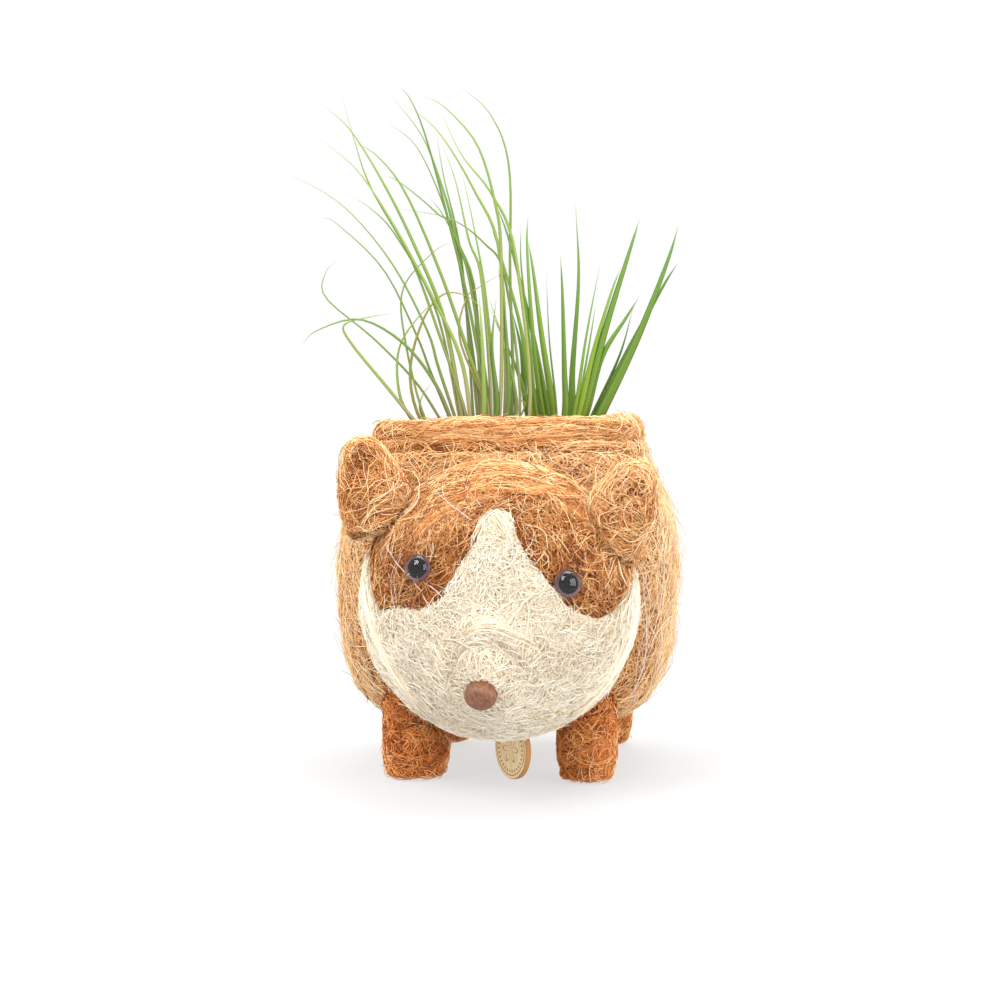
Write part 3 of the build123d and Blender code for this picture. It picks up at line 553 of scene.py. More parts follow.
RIM_CORNER = 21.75
FILLER_HEIGHT = 127.2
FILLER_OUT = 2.9
LEGS = ("front_left", "front_right", "rear_left", "rear_right")
MASK_OUTLINE = np.array(
    [
        (-1.30, 0.50), (-0.98, 0.48), (-0.94, 0.25), (-0.87, 0.01), (-0.78, -0.15), (-0.66, -0.08),
        (-0.48, -0.07), (-0.34, 0.00), (-0.28, 0.16), (-0.20, 0.31), (-0.12, 0.47), (-0.05, 0.68),
        (0.08, 0.67), (0.14, 0.49), (0.25, 0.34), (0.43, 0.17), (0.57, 0.03), (0.74, -0.02),
        (0.85, 0.05), (0.91, 0.18), (0.94, 0.36), (1.30, 0.40), (1.30, -1.30), (-1.30, -1.30),
    ]
)


def sight_line(pixel):
    """The way in which the camera sees a pixel of the photograph."""
    right = LOOK_RIGHT * (pixel[0] - PHOTO_MIDDLE) / FOCAL_PIXELS
    return LOOK + right + LOOK_UP * (PHOTO_MIDDLE - pixel[1]) / FOCAL_PIXELS


# Ways that strands run, and the faces that they start on
def any_way(places, normals):
    """No way of its own: a level line, for strands that are then turned at random."""
    return unit(np.cross((0, 0, 1.0), normals + (1e-4, 0, 1e-4)))


def everywhere(places, normals):
    """Accepts every face."""
    return np.ones(len(places))


def rim_outward(places):
    """Level direction from the rim's middle line outward."""
    flat = places[:, :2]
    q = np.abs(flat) - (np.array(RIM_HALF) - RIM_CORNER)
    corner = (q > 0).all(axis=1)
    way = np.where(corner[:, None], np.maximum(q, 0), np.eye(2)[q.argmax(axis=1)])
    way = unit(way) * np.sign(flat + 1e-9)
    return np.concatenate([way, np.zeros((len(places), 1))], axis=1)


def along_rim(places, normals):
    """Along the rolled rim."""
    return np.cross((0, 0, 1.0), rim_outward(places))


def rim_filler():
    """Skin of the uneven roll of fibre that fills the groove between rim and shoulder."""
    turns = circle_steps(20)
    rows = []
    corner = np.array(RIM_HALF) - RIM_CORNER
    for share in circle_steps(240):
        far = 1.3 * np.array(RIM_HALF) * (math.cos(share), math.sin(share))
        near = far.clip(-corner, corner)
        out = np.array((*unit(far - near), 0))
        middle = np.array((*near, FILLER_HEIGHT)) + out * (RIM_CORNER + FILLER_OUT)
        reach = 3.9 + 0.9 * noise.noise(Vector(middle) / 7)
        rows.append(middle + reach * (np.cos(turns)[:, None] * out + np.sin(turns)[:, None] * (0, 0, 1.0)))
    return skin("rim_filler", np.array(rows), ring=True)


def head_shares(places):
    """Across and up on the head, as shares of its radius."""
    out = places - HEAD_CENTRE
    return np.stack([out @ HEAD_ACROSS, out @ HEAD_UP], -1) / HEAD_RADIUS


def in_mask(places):
    """Whether places lie inside the bleached mask's outline, seen from the front."""
    x, y = np.moveaxis(head_shares(places), -1, 0)
    inside = np.zeros(x.shape, bool)
    for (x0, y0), (x1, y1) in zip(MASK_OUTLINE, np.roll(MASK_OUTLINE, -1, axis=0)):
        if y0 != y1:
            crosses = (y0 > y) != (y1 > y)
            inside ^= crosses & (x < (x1 - x0) * (y - y0) / (y1 - y0) + x0)
    return inside


def on_head_outside(places, normals):
    """Accepts faces on the head's outer side."""
    return (((places - HEAD_CENTRE) / HEAD_SIZE) ** 2).sum(-1) > 0.88


def round_face(places, normals):
    """Round the face."""
    return unit(np.cross((0, 1.0, 0), places - HEAD_CENTRE) + 1e-6)


# Fibre materials
COIR_SHADES = [
    (0.0, "#451C08"),
    (0.16, "#8A4518"),
    (0.33, "#B96E32"),
    (0.5, "#D39352"),
    (0.66, "#E3AF73"),
    (0.82, "#EEC692"),
    (1.0, "#F6DAB0"),
]
COIR_ENDS = [(0.0, "#B49A86"), (0.12, "#FFFFFF"), (0.88, "#FFFFFF"), (1.0, "#C9B4A2")]
HUSK_SHADES = [
    (0.0, "#50200B"),
    (0.25, "#AC5722"),
    (0.5, "#D47D36"),
    (0.75, "#EA9E58"),
    (1.0, "#F4C68E"),
]
BLEACHED_SHADES = [
    (0.0, "#C4A676"),
    (0.22, "#E2CDA6"),
    (0.45, "#F2E4C9"),
    (0.7, "#F6EAD5"),
    (1.0, "#FAF2E3"),
]


def made(key, maker):
    """A material that several operators share, made once."""
    return bpy.data.materials.get(key) or maker(key)


def brown_strands():
    """Retted coir fibre, stiff and matte, from straw to husk brown: it gives the warm tangle."""
    return made("brown_coir_strands", lambda key: strand_material(key, COIR_SHADES, COIR_ENDS, 0.6))


def husk_strands():
    """Unretted husk fibre, redder: it gives the legs their darker tone."""
    return made("husk_coir_strands", lambda key: strand_material(key, HUSK_SHADES, COIR_ENDS, 0.6))


def brown_felt():
    """Needled coir felt under the strands: coir brown made deeper, as painted shade in the gaps between them.
    """
    return made("brown_coir_felt", lambda key: felted_coir(key, "#B0743C", "#6A3414", "#CF965A", 1.4))


def husk_felt():
    """Tightly bound husk fibre on legs, ears and brow: redder, as husk is, and darker, as painted shade in the
    gaps between strands.
    """
    return made("husk_coir_felt", lambda key: felted_coir(key, "#9A5526", "#542A10", "#BC763C", 1.3))


def pale_strands():
    """Coir bleached to cream, finer and softer: it gives the face its light."""
    ends = [(0.0, "#E8E0D0"), (0.12, "#FFFFFF"), (0.88, "#FFFFFF"), (1.0, "#EAE2D2")]
    return made("bleached_coir_strands", lambda key: strand_material(key, BLEACHED_SHADES, ends, 0.55))


def pale_felt():
    """Needled bleached felt: tan, as painted shade in the gaps between cream strands."""
    return made("bleached_coir_felt", lambda key: felted_coir(key, "#EADCC2", "#C6B08A", "#F3EAD6", 1.0))


def binding_thread():
    """Thin nylon thread, nearly colourless and a little shiny: it ties the coir."""
    shades = [(0.0, "#CDB0A4"), (0.5, "#E8D8D0"), (1.0, "#F8F0EE")]
    ends = [(0.0, "#FFFFFF"), (0.5, "#F4ECEA"), (1.0, "#FFFFFF")]
    return made("binding_thread", lambda key: strand_material(key, shades, ends, 0.35))


class PLANTER_OT_body(bpy.types.Operator):
    """Coir body: a felted shell under a tangled coat of strands"""

    bl_idname = "planter.body"
    bl_label = "Coir body"

    def execute(self, context):
        felt = felted_piece("body_felt", ["body_shell"], brown_felt(), voxel=1.7)
        low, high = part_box("body_shell")
        centre = np.array((low + high) / 2) / MM
        radius = context.scene.coir.strand_radius

        def outside(places, normals):
            return ((places - centre) * normals).sum(-1) > 0

        # painted light: strands on the +x side and higher on the body are painted lighter
        def painted_light(places):
            return 0.06 * (places[:, 0] > 20) + 0.05 * (places[:, 2] - 60) / 60

        lay_strands(
            "body_strands", Surface(felt), brown_strands(), 18000, any_way, outside,
            radius, length=24, curl=0.26, lift=(0.1, 1.3), loose=0.03,
            shade_mean=0.66, shade_at=painted_light, seed=1,
        )
        lay_strands(
            "body_wisps", Surface(felt), brown_strands(), 1500, any_way, outside,
            radius * 0.7, length=34, steps=10, curl=0.2, bundle=2, bundle_width=1.2,
            lift=(1.0, 2.0), loose=0.3, loose_rise=4.0, shade_mean=0.86, seed=3,
        )
        return {"FINISHED"}


class PLANTER_OT_rim(bpy.types.Operator):
    """Rolled coir rim, its strands combed along it"""

    bl_idname = "planter.rim"
    bl_label = "Rolled rim"

    def execute(self, context):
        radius = context.scene.coir.strand_radius
        felt = felted_piece("rim_felt", ["rim_roll"], brown_felt(), voxel=1.3, lumps=1.8)
        for vertex in felt.data.vertices:
            place = vertex.co / MM
            vertex.co.z += (0.03 * place.x - 0.4 + 1.6 * noise.noise(place / 24)) * MM
        felt.data.update()
        lay_strands(
            "rim_strands", Surface(felt), brown_strands(), 6800, along_rim, everywhere, radius,
            length=30, spread=0.45, curl=0.12, follow=0.2, bundle=7, bundle_width=0.9, lift=(0.0, 1.4),
            loose=0.05, loose_rise=3.0, shade_mean=0.46, seed=2,
        )
        filler = place_piece("rim_filler", rim_filler(), brown_felt(), BODY)
        # strands that wander over the filled groove and tie the rim to the body
        body = Surface(felt, filler, bpy.data.objects["body_felt"])
        lay_strands(
            "rim_bridge_strands", body, brown_strands(), 5200, along_rim,
            lambda places, normals: (places[:, 2] > 114) & ((rim_outward(places) * normals).sum(-1) > 0.1),
            radius, start=body, length=22, spread=1.1, curl=0.24, bundle=5, lift=(0.3, 1.7),
            loose=0.03, shade_mean=0.6, seed=40,
        )
        for index, (pixels, count, shade) in enumerate(RIM_ROPES):
            lay_rope(
                f"rim_rope_{index + 1}", body, pixels, brown_strands(), count, radius, width=1.5,
                lift=(0.2, 1.8), shade_mean=shade, shade_spread=0.2, share=(0.25, 0.7), seed=44 + index,
            )
        return {"FINISHED"}


# Bundles that the photograph shows on the rim's front: route, strands, shade
RIM_ROPES = [
    ([(394, 435), (440, 431), (500, 428), (560, 424), (630, 428)], 170, 0.66),
    ([(396, 443), (450, 438), (520, 437), (590, 432), (638, 436)], 170, 0.56),
    ([(430, 447), (480, 443), (540, 443), (600, 440)], 110, 0.4),
    ([(540, 452), (590, 446), (646, 450)], 90, 0.6),
]


class PLANTER_OT_head(bpy.types.Operator):
    """Brown head, bleached face and snout"""

    bl_idname = "planter.head"
    bl_label = "Head"

    def execute(self, context):
        coir = context.scene.coir
        centre = tuple(HEAD_CENTRE)
        skin = felted_piece("head_felt", ["head_skin"], husk_felt(), 1.0, 0.9, -0.2, centre)
        mask = felted_piece("face_felt", ["face_mask"], pale_felt(), 1.0, 0.7, 0.5, centre)
        snout = felted_piece("snout_felt", ["snout"], pale_felt(), 0.8, 0.4, 0.5, centre)
        # felt packed round the snout's foot, so that it grows out of the face
        for vertex in mask.data.vertices:
            off = np.array(vertex.co) / MM - SNOUT_AT
            away = math.hypot(off @ HEAD_ACROSS, off @ HEAD_UP)
            if off[1] < -20:
                vertex.co.y -= 3.4 * math.exp(-(((away - 14.5) / 5.5) ** 2)) * MM
        mask.data.update()
        whole = Surface(skin, mask, snout)
        ground, pale = Surface(skin), Surface(mask, snout)
        brown, cream = brown_strands(), pale_strands()

        # the crown is lighter, partly from its golden strands and partly as painted light from above; the ring
        # round each eye socket is darker as painted shade
        def crown_tone_and_painted_shade(places):
            shares = head_shares(places)
            crown = np.clip((shares[:, 1] - 0.5) * 0.25, -0.02, 0.04)
            socket = np.abs(np.abs(shares[:, 0]) - 0.52) + np.abs(shares[:, 1] - 0.2)
            return crown - 0.04 * (socket < 0.35)

        for name, length, count in (("long", 24, 4200), ("short", 11, 4400), ("tiny", 5.5, 3400)):
            lay_strands(
                f"head_{name}_strands", whole, brown, count, round_face, on_head_outside,
                coir.strand_radius * 0.8, start=ground, keep=lambda paths: in_mask(paths).mean(axis=1) < 0.15,
                length=length, spread=0.8, curl=0.25, follow=0.05, bundle=4, lift=(0.1, 1.4),
                shade_mean=0.38, shade_spread=0.24, shade_at=crown_tone_and_painted_shade, seed=len(name),
            )
        for name, length, count, low_share, high_share in (
            ("long", 17, 8200, 0.85, 1.1),
            ("short", 8, 8800, 0.85, 1.1),
            ("edge", 19, 700, 0.3, 0.9),
        ):
            lay_strands(
                f"face_{name}_strands", whole, cream, count, round_face, on_head_outside,
                coir.bleached_radius, start=pale,
                keep=lambda paths: abs(in_mask(paths).mean(axis=1) - (low_share + high_share) / 2)
                < (high_share - low_share) / 2,
                length=length, spread=1.4, curl=0.24, bundle=4 if low_share > 0.5 else 1, lift=(0.1, 1.1),
                loose=0.03, loose_rise=2.5, shade_mean=0.74, shade_spread=0.3, seed=10 + len(name),
            )
        # strands that run over from the crown to the shoulder behind it
        both = Surface(skin, bpy.data.objects["body_felt"])
        lay_strands(
            "neck_strands", both, brown, 2200, any_way,
            lambda places, normals: (abs(places[:, 1] + 72) < 12) & (places[:, 2] > 70), coir.strand_radius,
            start=both, length=22, spread=1.2, curl=0.22, bundle=4, lift=(0.4, 2.0), loose=0.04,
            shade_mean=0.6, seed=31,
        )
        for index, (pixels, count, width, shade, slot) in enumerate(HEAD_ROPES):
            ground, fibre = (both, brown) if slot == "coir" else (whole, cream)
            lay_rope(
                f"head_rope_{index + 1}", ground, pixels, fibre, count, coir.strand_radius, width=width,
                shade_mean=shade, shade_spread=0.2, lift=(0.2, 1.4), seed=50 + index,
            )
        return {"FINISHED"}


# Bundles of strands that the photograph shows on the head: route, strands, width, shade, slot
HEAD_ROPES = [
    ([(406, 500), (430, 482), (475, 470), (520, 469), (560, 480), (590, 502)], 220, 1.9, 0.5, "coir"),
    ([(412, 508), (440, 490), (480, 478), (530, 478), (575, 496)], 170, 1.9, 0.47, "coir"),
    ([(425, 515), (455, 498), (495, 488), (540, 492), (580, 510)], 120, 2.0, 0.43, "coir"),
    ([(512, 505), (530, 494), (556, 492), (585, 505), (600, 520)], 150, 1.5, 0.5, "coir"),
    ([(415, 560), (425, 530), (450, 512), (480, 506)], 90, 1.6, 0.43, "coir"),
    ([(455, 640), (472, 628), (495, 626), (522, 636), (540, 646)], 34, 1.6, 0.6, "bleached_fibre"),
    ([(462, 672), (466, 655), (480, 647), (500, 645)], 24, 1.3, 0.55, "bleached_fibre"),
    ([(364, 560), (368, 600), (382, 645), (408, 690), (440, 722)], 110, 2.0, 0.62, "bleached_fibre"),
    ([(634, 578), (634, 610), (622, 650), (598, 690), (560, 718)], 110, 2.0, 0.62, "bleached_fibre"),
    ([(472, 552), (479, 533), (491, 516), (505, 532), (515, 550)], 36, 1.3, 0.75, "bleached_fibre"),
]


def swirl_round(pixel):
    """Strands circle the line of sight through a pixel, as a rolled tip shows."""
    way = unit(sight_line(pixel))
    return lambda places, normals: unit(np.cross(way, places - EYE) + 1e-6)


class PLANTER_OT_ears(bpy.types.Operator):
    """Two rolled coir ears with curled tips"""

    bl_idname = "planter.ears"
    bl_label = "Ears"

    def execute(self, context):
        for side, (name, pixel, tip) in enumerate((("left", (368, 462), 122), ("right", (636, 494), 107))):
            felt = felted_piece(f"ear_{name}_felt", [f"ear_{name}"], husk_felt(), 1.0, 0.9)
            for part, count, spread in (("curled", 1300, 0.35), ("tangled", 1100, 3.1)):
                lay_strands(
                    f"ear_{name}_{part}_strands", Surface(felt), brown_strands(), count,
                    swirl_round(pixel), everywhere, context.scene.coir.strand_radius, length=16,
                    spread=spread, curl=0.12 if part == "curled" else 0.3,
                    follow=0.5 if part == "curled" else 0, bundle=4, lift=(0.0, 1.1), loose=0.05,
                    loose_rise=2.5, shade_mean=0.45, shade_spread=0.2,
                    # painted light and shade: each ear is painted lighter up towards its tip and darker at its
                    # foot
                    shade_at=lambda places: 0.012 * (places[:, 2] - tip + 12).clip(-14, 14), seed=60 + side,
                )
            near = [bpy.data.objects[key] for key in ("head_felt", "body_felt")]
            foot = Surface(felt).points[:, 2].min() + 13
            lay_strands(
                f"ear_{name}_root_strands", Surface(felt, *near), brown_strands(), 1500, any_way,
                lambda places, normals: places[:, 2] < foot, context.scene.coir.strand_radius,
                start=Surface(felt), length=20, spread=3.1, curl=0.25, bundle=4, lift=(0.4, 2.2), loose=0.04,
                shade_mean=0.46, shade_spread=0.2, seed=64 + side,
            )
        return {"FINISHED"}


class PLANTER_OT_legs(bpy.types.Operator):
    """Four bound legs and the tail stub"""

    bl_idname = "planter.legs"
    bl_label = "Legs and tail"

    def execute(self, context):
        for index, leg in enumerate(LEGS):
            felt = felted_piece(f"leg_{leg}_felt", [f"leg_{leg}"], husk_felt(), 1.1, 0.5, -0.3)
            lay_strands(
                f"leg_{leg}_strands", Surface(felt), husk_strands(), 2300, any_way,
                lambda places, normals: (places[:, 2] > 0.6) & (np.abs(normals[:, 2]) < 0.95),
                context.scene.coir.strand_radius, length=15, spread=0.8, curl=0.26, lift=(0.0, 0.9),
                loose=0.05, loose_rise=2.0, shade_mean=0.55, shade_spread=0.26, seed=20 + index,
            )
        felt = felted_piece("tail_felt", ["tail"], husk_felt(), 1.1, 0.8)
        lay_strands(
            "tail_strands", Surface(felt), brown_strands(), 900, any_way, everywhere,
            context.scene.coir.strand_radius, length=14, curl=0.3, loose=0.1, seed=30,
        )
        return {"FINISHED"}


# Threads that the photograph shows, in its pixels; the three short ones at height 470 lie on the crown
# here, and over the rim's front there
THREAD_ROUTES = [
    [(363, 527), (386, 525), (406, 516), (419, 498), (420, 474)],
    [(582, 493), (585, 520), (600, 537), (631, 558)],
    [(631, 553), (647, 604), (637, 655), (631, 700)],
    [(668, 532), (672, 578), (661, 630), (649, 688)],
    [(641, 578), (643, 655), (625, 703)],
    [(655, 508), (661, 560), (655, 620), (640, 668)],
    [(341, 590), (363, 563)],
    [(345, 624), (367, 631)],
    [(352, 640), (366, 655), (381, 700)],
    [(521, 470), (532, 470), (535, 470)],
    [(568, 470), (576, 470), (580, 470)],
    [(608, 470), (612, 470), (622, 470)],
    [(440, 497), (473, 522)],
    [(466, 486), (482, 508)],
    [(404, 552), (396, 580), (400, 612)],
    [(388, 542), (398, 560), (424, 590)],
]


class PLANTER_OT_threads(bpy.types.Operator):
    """Pale binding threads on body, head and paws"""

    bl_idname = "planter.threads"
    bl_label = "Binding threads"

    def execute(self, context):
        rng = np.random.default_rng(RNG_SEED + 90)
        names = ["body_felt", "rim_felt", "head_felt", "face_felt", "snout_felt", "ear_left_felt"]
        names += ["ear_right_felt"] + [f"leg_{leg}_felt" for leg in LEGS]
        surface = Surface(*(bpy.data.objects[name] for name in names))
        steps = 40
        paths, ups = [], []
        kernel = np.array((1, 2, 3, 2, 1)) / 9
        for route, shift in ((route, shift) for route in THREAD_ROUTES for shift in (-0.8, 0.8)):
            jitter = rng.normal(0, 0.9, (len(route), 2)) + shift
            places, normals = seen_places(surface, np.array(route) + jitter, steps)
            padded = np.pad(places + normals * 1.6, ((2, 2), (0, 0)), mode="edge")
            paths.append(np.stack([np.convolve(padded[:, k], kernel, "valid") for k in range(3)], 1))
            ups.append(normals)
        paths, ups = np.array(paths), unit(np.array(ups))
        radii = np.full(paths.shape[:2], 0.11) * rng.uniform(0.7, 1.2, (len(paths), 1))
        shades = rng.uniform(0.3, 0.95, len(paths))
        add_tubes("binding_threads", paths, ups, radii, shades, binding_thread())
        # three turns of thread in each ankle's dent
        t = np.linspace(0, 1, 121)
        for leg in LEGS:
            low, high = (np.array(v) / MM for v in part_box(f"paw_thread_{leg}"))
            middle, wide = (low + high) / 2, (high - low)[:2].mean() / 2 - 0.1
            angle = 6 * math.pi * t
            reach = wide + 0.25 + 0.12 * np.sin(angle * 1.7)
            path = np.stack(
                [
                    middle[0] + reach * np.cos(angle),
                    middle[1] + reach * np.sin(angle),
                    middle[2] + 0.9 * (t - 0.5) + 0.3 * np.sin(angle * 1.3),
                ],
                1,
            )[None]
            up = np.stack([np.cos(angle), np.sin(angle), 0 * t], 1)[None]
            mesh = tube_mesh(f"paw_thread_{leg}_wound", path, up, np.full((1, 121), 0.22), np.array([0.3]), 6)
            place_piece(mesh.name, mesh, binding_thread(), BODY, [f"paw_thread_{leg}"])
        return {"FINISHED"}


# Turned and pressed pieces
def axes_of(node):
    """Corners and middle of a flat node, and its own axes, the last one across its thin side."""
    points = node_points(node)
    middle = (points.min(axis=0) + points.max(axis=0)) / 2
    vectors = np.linalg.eigh(np.cov((points - middle).T))[1]
    normal = vectors[:, 0] * (1 if vectors[1, 0] < 0 else -1)
    up = unit(np.array((0, 0, 1.0)) - normal * normal[2])
    return points, middle, np.cross(up, normal), up, normal


def speckled(name, base, fleck, size_mm, roughness, bump=0.0, metallic=0.0, stretch=(1, 1, 1)):
    """A material of two tones in a fine grain, with a bump of the same grain."""
    material, tree, shader = new_material(name)
    place = add_node(tree, "ShaderNodeTexCoord")
    drawn = add_node(tree, "ShaderNodeMapping", {"Vector": place.outputs["Object"], "Scale": stretch})
    inputs = {"Vector": drawn.outputs["Vector"], "Scale": 1 / (size_mm * MM), "Detail": 4.0}
    grain = add_node(tree, "ShaderNodeTexNoise", inputs)
    stops = [(0.35, fleck), (0.6, base)]
    tone = add_node(tree, "ShaderNodeValToRGB", {"Fac": grain.outputs["Fac"]}, stops=stops)
    tree.links.new(tone.outputs["Color"], shader.inputs["Base Color"])
    shader.inputs["Roughness"].default_value = roughness
    shader.inputs["Metallic"].default_value = metallic
    if bump:
        inputs = {"Height": grain.outputs["Fac"], "Distance": bump * MM, "Strength": 0.7}
        relief = add_node(tree, "ShaderNodeBump", inputs)
        tree.links.new(relief.outputs["Normal"], shader.inputs["Normal"])
    return material


# Radii and heights of the eyes' turned pieces, in millimetres
EYE_RADIUS = 4.8
EYE_RING_PROFILE = (
    (4.7, -1.0), (4.95, -0.6), (4.95, 0.5), (4.7, 0.5), (4.6, 0.0), (3.4, -0.05), (2.5, -0.06),
)
EYE_PUPIL_PROFILE = ((2.75, -0.5), (2.8, 0.0), (2.0, 0.02), (0.05, 0.03))


class PLANTER_OT_eyes(bpy.types.Operator):
    """Clear domes over coloured rings and black pupils"""

    bl_idname = "planter.eyes"
    bl_label = "Glass eyes"

    def execute(self, context):
        glass, tree, shader = new_material("clear_cast_glass")
        # cast glass, polished: it gives the deep wet look and a small sharp highlight
        shader.inputs["Base Color"].default_value = (0.96, 0.95, 0.97, 1)
        shader.inputs["Roughness"].default_value = 0.02
        shader.inputs["IOR"].default_value = 1.5
        shader.inputs["Transmission Weight"].default_value = 1.0
        # lacquer on the dome's back: plum brown, in a fine speckle
        iris = speckled("iris_lacquer", "#7A4A54", "#3A1E24", 0.5, 0.35)
        pupil = speckled("pupil_lacquer", "#050404", "#020202", 0.5, 0.6)
        pupil.node_tree.nodes["Principled BSDF"].inputs["Specular IOR Level"].default_value = 0.0
        for name in ("left", "right"):
            ring, _, _, up, normal = axes_of(f"eye_ring_{name}")
            middle = ring.mean(axis=0)
            out = unit(middle - HEAD_CENTRE)
            normal = normal if normal @ out > 0 else -normal
            across = np.cross(up, normal)
            base = middle + normal * ((ring - middle) @ normal).max()
            angle = circle_steps(48)
            circle = np.cos(angle)[:, None] * across + np.sin(angle)[:, None] * up
            turns = np.linspace(0, math.pi / 2, 14)[:-1]
            rows = [base + circle * EYE_RADIUS - normal * 0.15]
            rows += [
                base + circle * EYE_RADIUS * math.cos(a) + normal * (0.7 + 3.6 * math.sin(a)) for a in turns
            ]
            rows.append(base + circle * 0.05 + normal * 4.3)
            mesh = skin(f"eye_dome_{name}_glass", np.array(rows))
            place_piece(mesh.name, mesh, glass, BODY, [f"eye_dome_{name}"])
            for part, profile, material, slot, ends in (
                ("ring", EYE_RING_PROFILE, iris, "eye_colour", (True, False)),
                ("pupil", EYE_PUPIL_PROFILE, pupil, "eye_black", (True, True)),
            ):
                rows = [base + circle * r + normal * h for r, h in profile]
                mesh = skin(f"eye_{part}_{name}_lacquer", np.array(rows), ends)
                place_piece(mesh.name, mesh, material, BODY, [f"eye_{part}_{name}"])
        return {"FINISHED"}


class PLANTER_OT_nose(bpy.types.Operator):
    """Turned wooden nose button with small pits"""

    bl_idname = "planter.nose"
    bl_label = "Nose"

    def execute(self, context):
        # beech stained red brown and waxed: matte, with fine darker pores
        wood = speckled("stained_beech", "#82543A", "#643C2A", 0.9, 0.5, 0.12, stretch=(1, 1, 0.45))
        points = node_points("nose_button")
        normal = unit(points.mean(axis=0) - SNOUT_AT - (0, -SNOUT_REACH, 0))
        across = unit(HEAD_ACROSS - normal * (HEAD_ACROSS @ normal))
        up = np.cross(normal, across)
        low, high = (points @ normal).min(), (points @ normal).max()
        middle = points.mean(axis=0)
        middle = middle - normal * (middle @ normal)
        angle = circle_steps(56)
        rows = []
        profile = [(0.98, 0.0), (1.0, 0.3), (1.0, 0.55)]
        profile += [(0.62 + 0.38 * math.cos(a), 0.55 + 0.43 * math.sin(a)) for a in np.linspace(0.15, 1.5, 9)]
        profile += [(0.45, 0.985), (0.25, 0.98), (0.1, 0.97), (0.01, 0.965)]
        for share, height in profile:
            ring = middle + normal * (low + (high - low) * height)
            ring = ring + np.cos(angle)[:, None] * across * 5.75 * share
            ring = ring + np.sin(angle)[:, None] * up * 4.9 * share
            dents = np.array([noise.noise(Vector(p) / 1.1) + 0.6 * noise.noise(Vector(p) / 3) for p in ring])
            rows.append(ring + normal * (0.16 * dents * (height > 0.5))[:, None])
        mesh = skin("nose_button_turned", np.array(rows))
        place_piece("nose_button_turned", mesh, wood, BODY, ["nose_button"])
        return {"FINISHED"}


# Marks on the tag: counts, and lengths in millimetres
TAG_LINE_RADIUS = 9.9
TAG_TICK_RADIUS = 8.4
TAG_TICKS = 30
TAG_PETALS = 6
TAG_PETAL_LENGTH = 5.2
TAG_BURNT_RADIUS = 11.1


class PLANTER_OT_tag(bpy.types.Operator):
    """Wooden tag with a burnt rim line and ticks, on its thread loop"""

    bl_idname = "planter.tag"
    bl_label = "Wooden tag"

    def execute(self, context):
        _, centre, across, up, _ = axes_of("tag_disc")
        material, tree, shader = new_material("laser_cut_birch_ply")
        # birch plywood cut and marked by a laser: honey face, burnt edge and marks
        place = add_node(tree, "ShaderNodeTexCoord")
        inputs = {0: place.outputs["Object"], 1: tuple(centre * MM)}
        offset = add_node(tree, "ShaderNodeVectorMath", inputs, operation="SUBTRACT")

        def part(direction):
            inputs = {0: offset.outputs[0], 1: tuple(direction)}
            return add_node(tree, "ShaderNodeVectorMath", inputs, operation="DOT_PRODUCT").outputs["Value"]

        def maths(kind, a, b=0.0, c=0.0):
            return add_node(tree, "ShaderNodeMath", {0: a, 1: b, 2: c}, operation=kind).outputs[0]

        x, y = part(across), part(up)
        reach = maths("SQRT", maths("ADD", maths("MULTIPLY", x, x), maths("MULTIPLY", y, y)))
        line = maths("COMPARE", reach, TAG_LINE_RADIUS * MM, 0.22 * MM)
        turn = maths("ARCTAN2", y, x)
        ticks = maths("GREATER_THAN", maths("SINE", maths("MULTIPLY", turn, TAG_TICKS)), 0.25)
        ticks = maths("MULTIPLY", ticks, maths("COMPARE", reach, TAG_TICK_RADIUS * MM, 0.55 * MM))
        wave = maths("ABSOLUTE", maths("COSINE", maths("MULTIPLY", turn, TAG_PETALS / 2)))
        petals = maths("MULTIPLY", wave, TAG_PETAL_LENGTH * MM)
        motif = maths("COMPARE", reach, petals, 0.34 * MM)
        edge = maths("GREATER_THAN", reach, TAG_BURNT_RADIUS * MM)
        marks = maths("MAXIMUM", maths("MAXIMUM", line, ticks), motif)
        marks = maths("MAXIMUM", marks, edge)
        drawn = add_node(tree, "ShaderNodeMapping", {"Vector": offset.outputs[0], "Scale": (1, 1, 0.12)})
        inputs = {"Vector": drawn.outputs["Vector"], "Scale": 1 / (0.8 * MM), "Detail": 4.0}
        grain = add_node(tree, "ShaderNodeTexNoise", inputs)
        stops = [(0.3, "#DDBE8C"), (0.7, "#F2DEB6")]
        face = add_node(tree, "ShaderNodeValToRGB", {"Fac": grain.outputs["Fac"]}, stops=stops)
        inputs = {6: face.outputs["Color"], 7: linear("#A8753C"), 0: marks}
        mixed = add_node(tree, "ShaderNodeMix", inputs, data_type="RGBA")
        tree.links.new(mixed.outputs[2], shader.inputs["Base Color"])
        shader.inputs["Roughness"].default_value = 0.6
        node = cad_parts["tag_disc"].data
        mesh = bpy.data.meshes.new("tag_disc_birch")
        mesh.from_pydata([v.co[:] for v in node.vertices], [], [list(p.vertices) for p in node.polygons])
        place_piece("tag_disc_birch", mesh, material, "tag", ["tag_disc"])

        loop, middle, across, up, normal = axes_of("tag_loop")
        flat = (loop - middle) - np.outer((loop - middle) @ normal, normal)
        reach = np.linalg.norm(flat, axis=1).max() - 0.3
        angle = np.linspace(0, 2 * math.pi, 49)
        for strand, phase in enumerate((0, math.pi)):
            twist = angle * 9 + phase
            ring = middle + (np.cos(angle) * (reach + 0.1 * np.cos(twist)))[:, None] * across
            ring = ring + (np.sin(angle) * (reach + 0.1 * np.cos(twist)))[:, None] * up
            ring = ring + (0.1 * np.sin(twist))[:, None] * normal
            ups = np.repeat(normal[None], 49, axis=0)
            title = f"tag_loop_ply_{strand + 1}"
            mesh = tube_mesh(title, ring[None], ups[None], np.full((1, 49), 0.17), np.array([0.6]), 6)
            replaced = ["tag_loop"] if strand == 0 else ()
            place_piece(title, mesh, binding_thread(), "tag_thread", replaced)
        return {"FINISHED"}


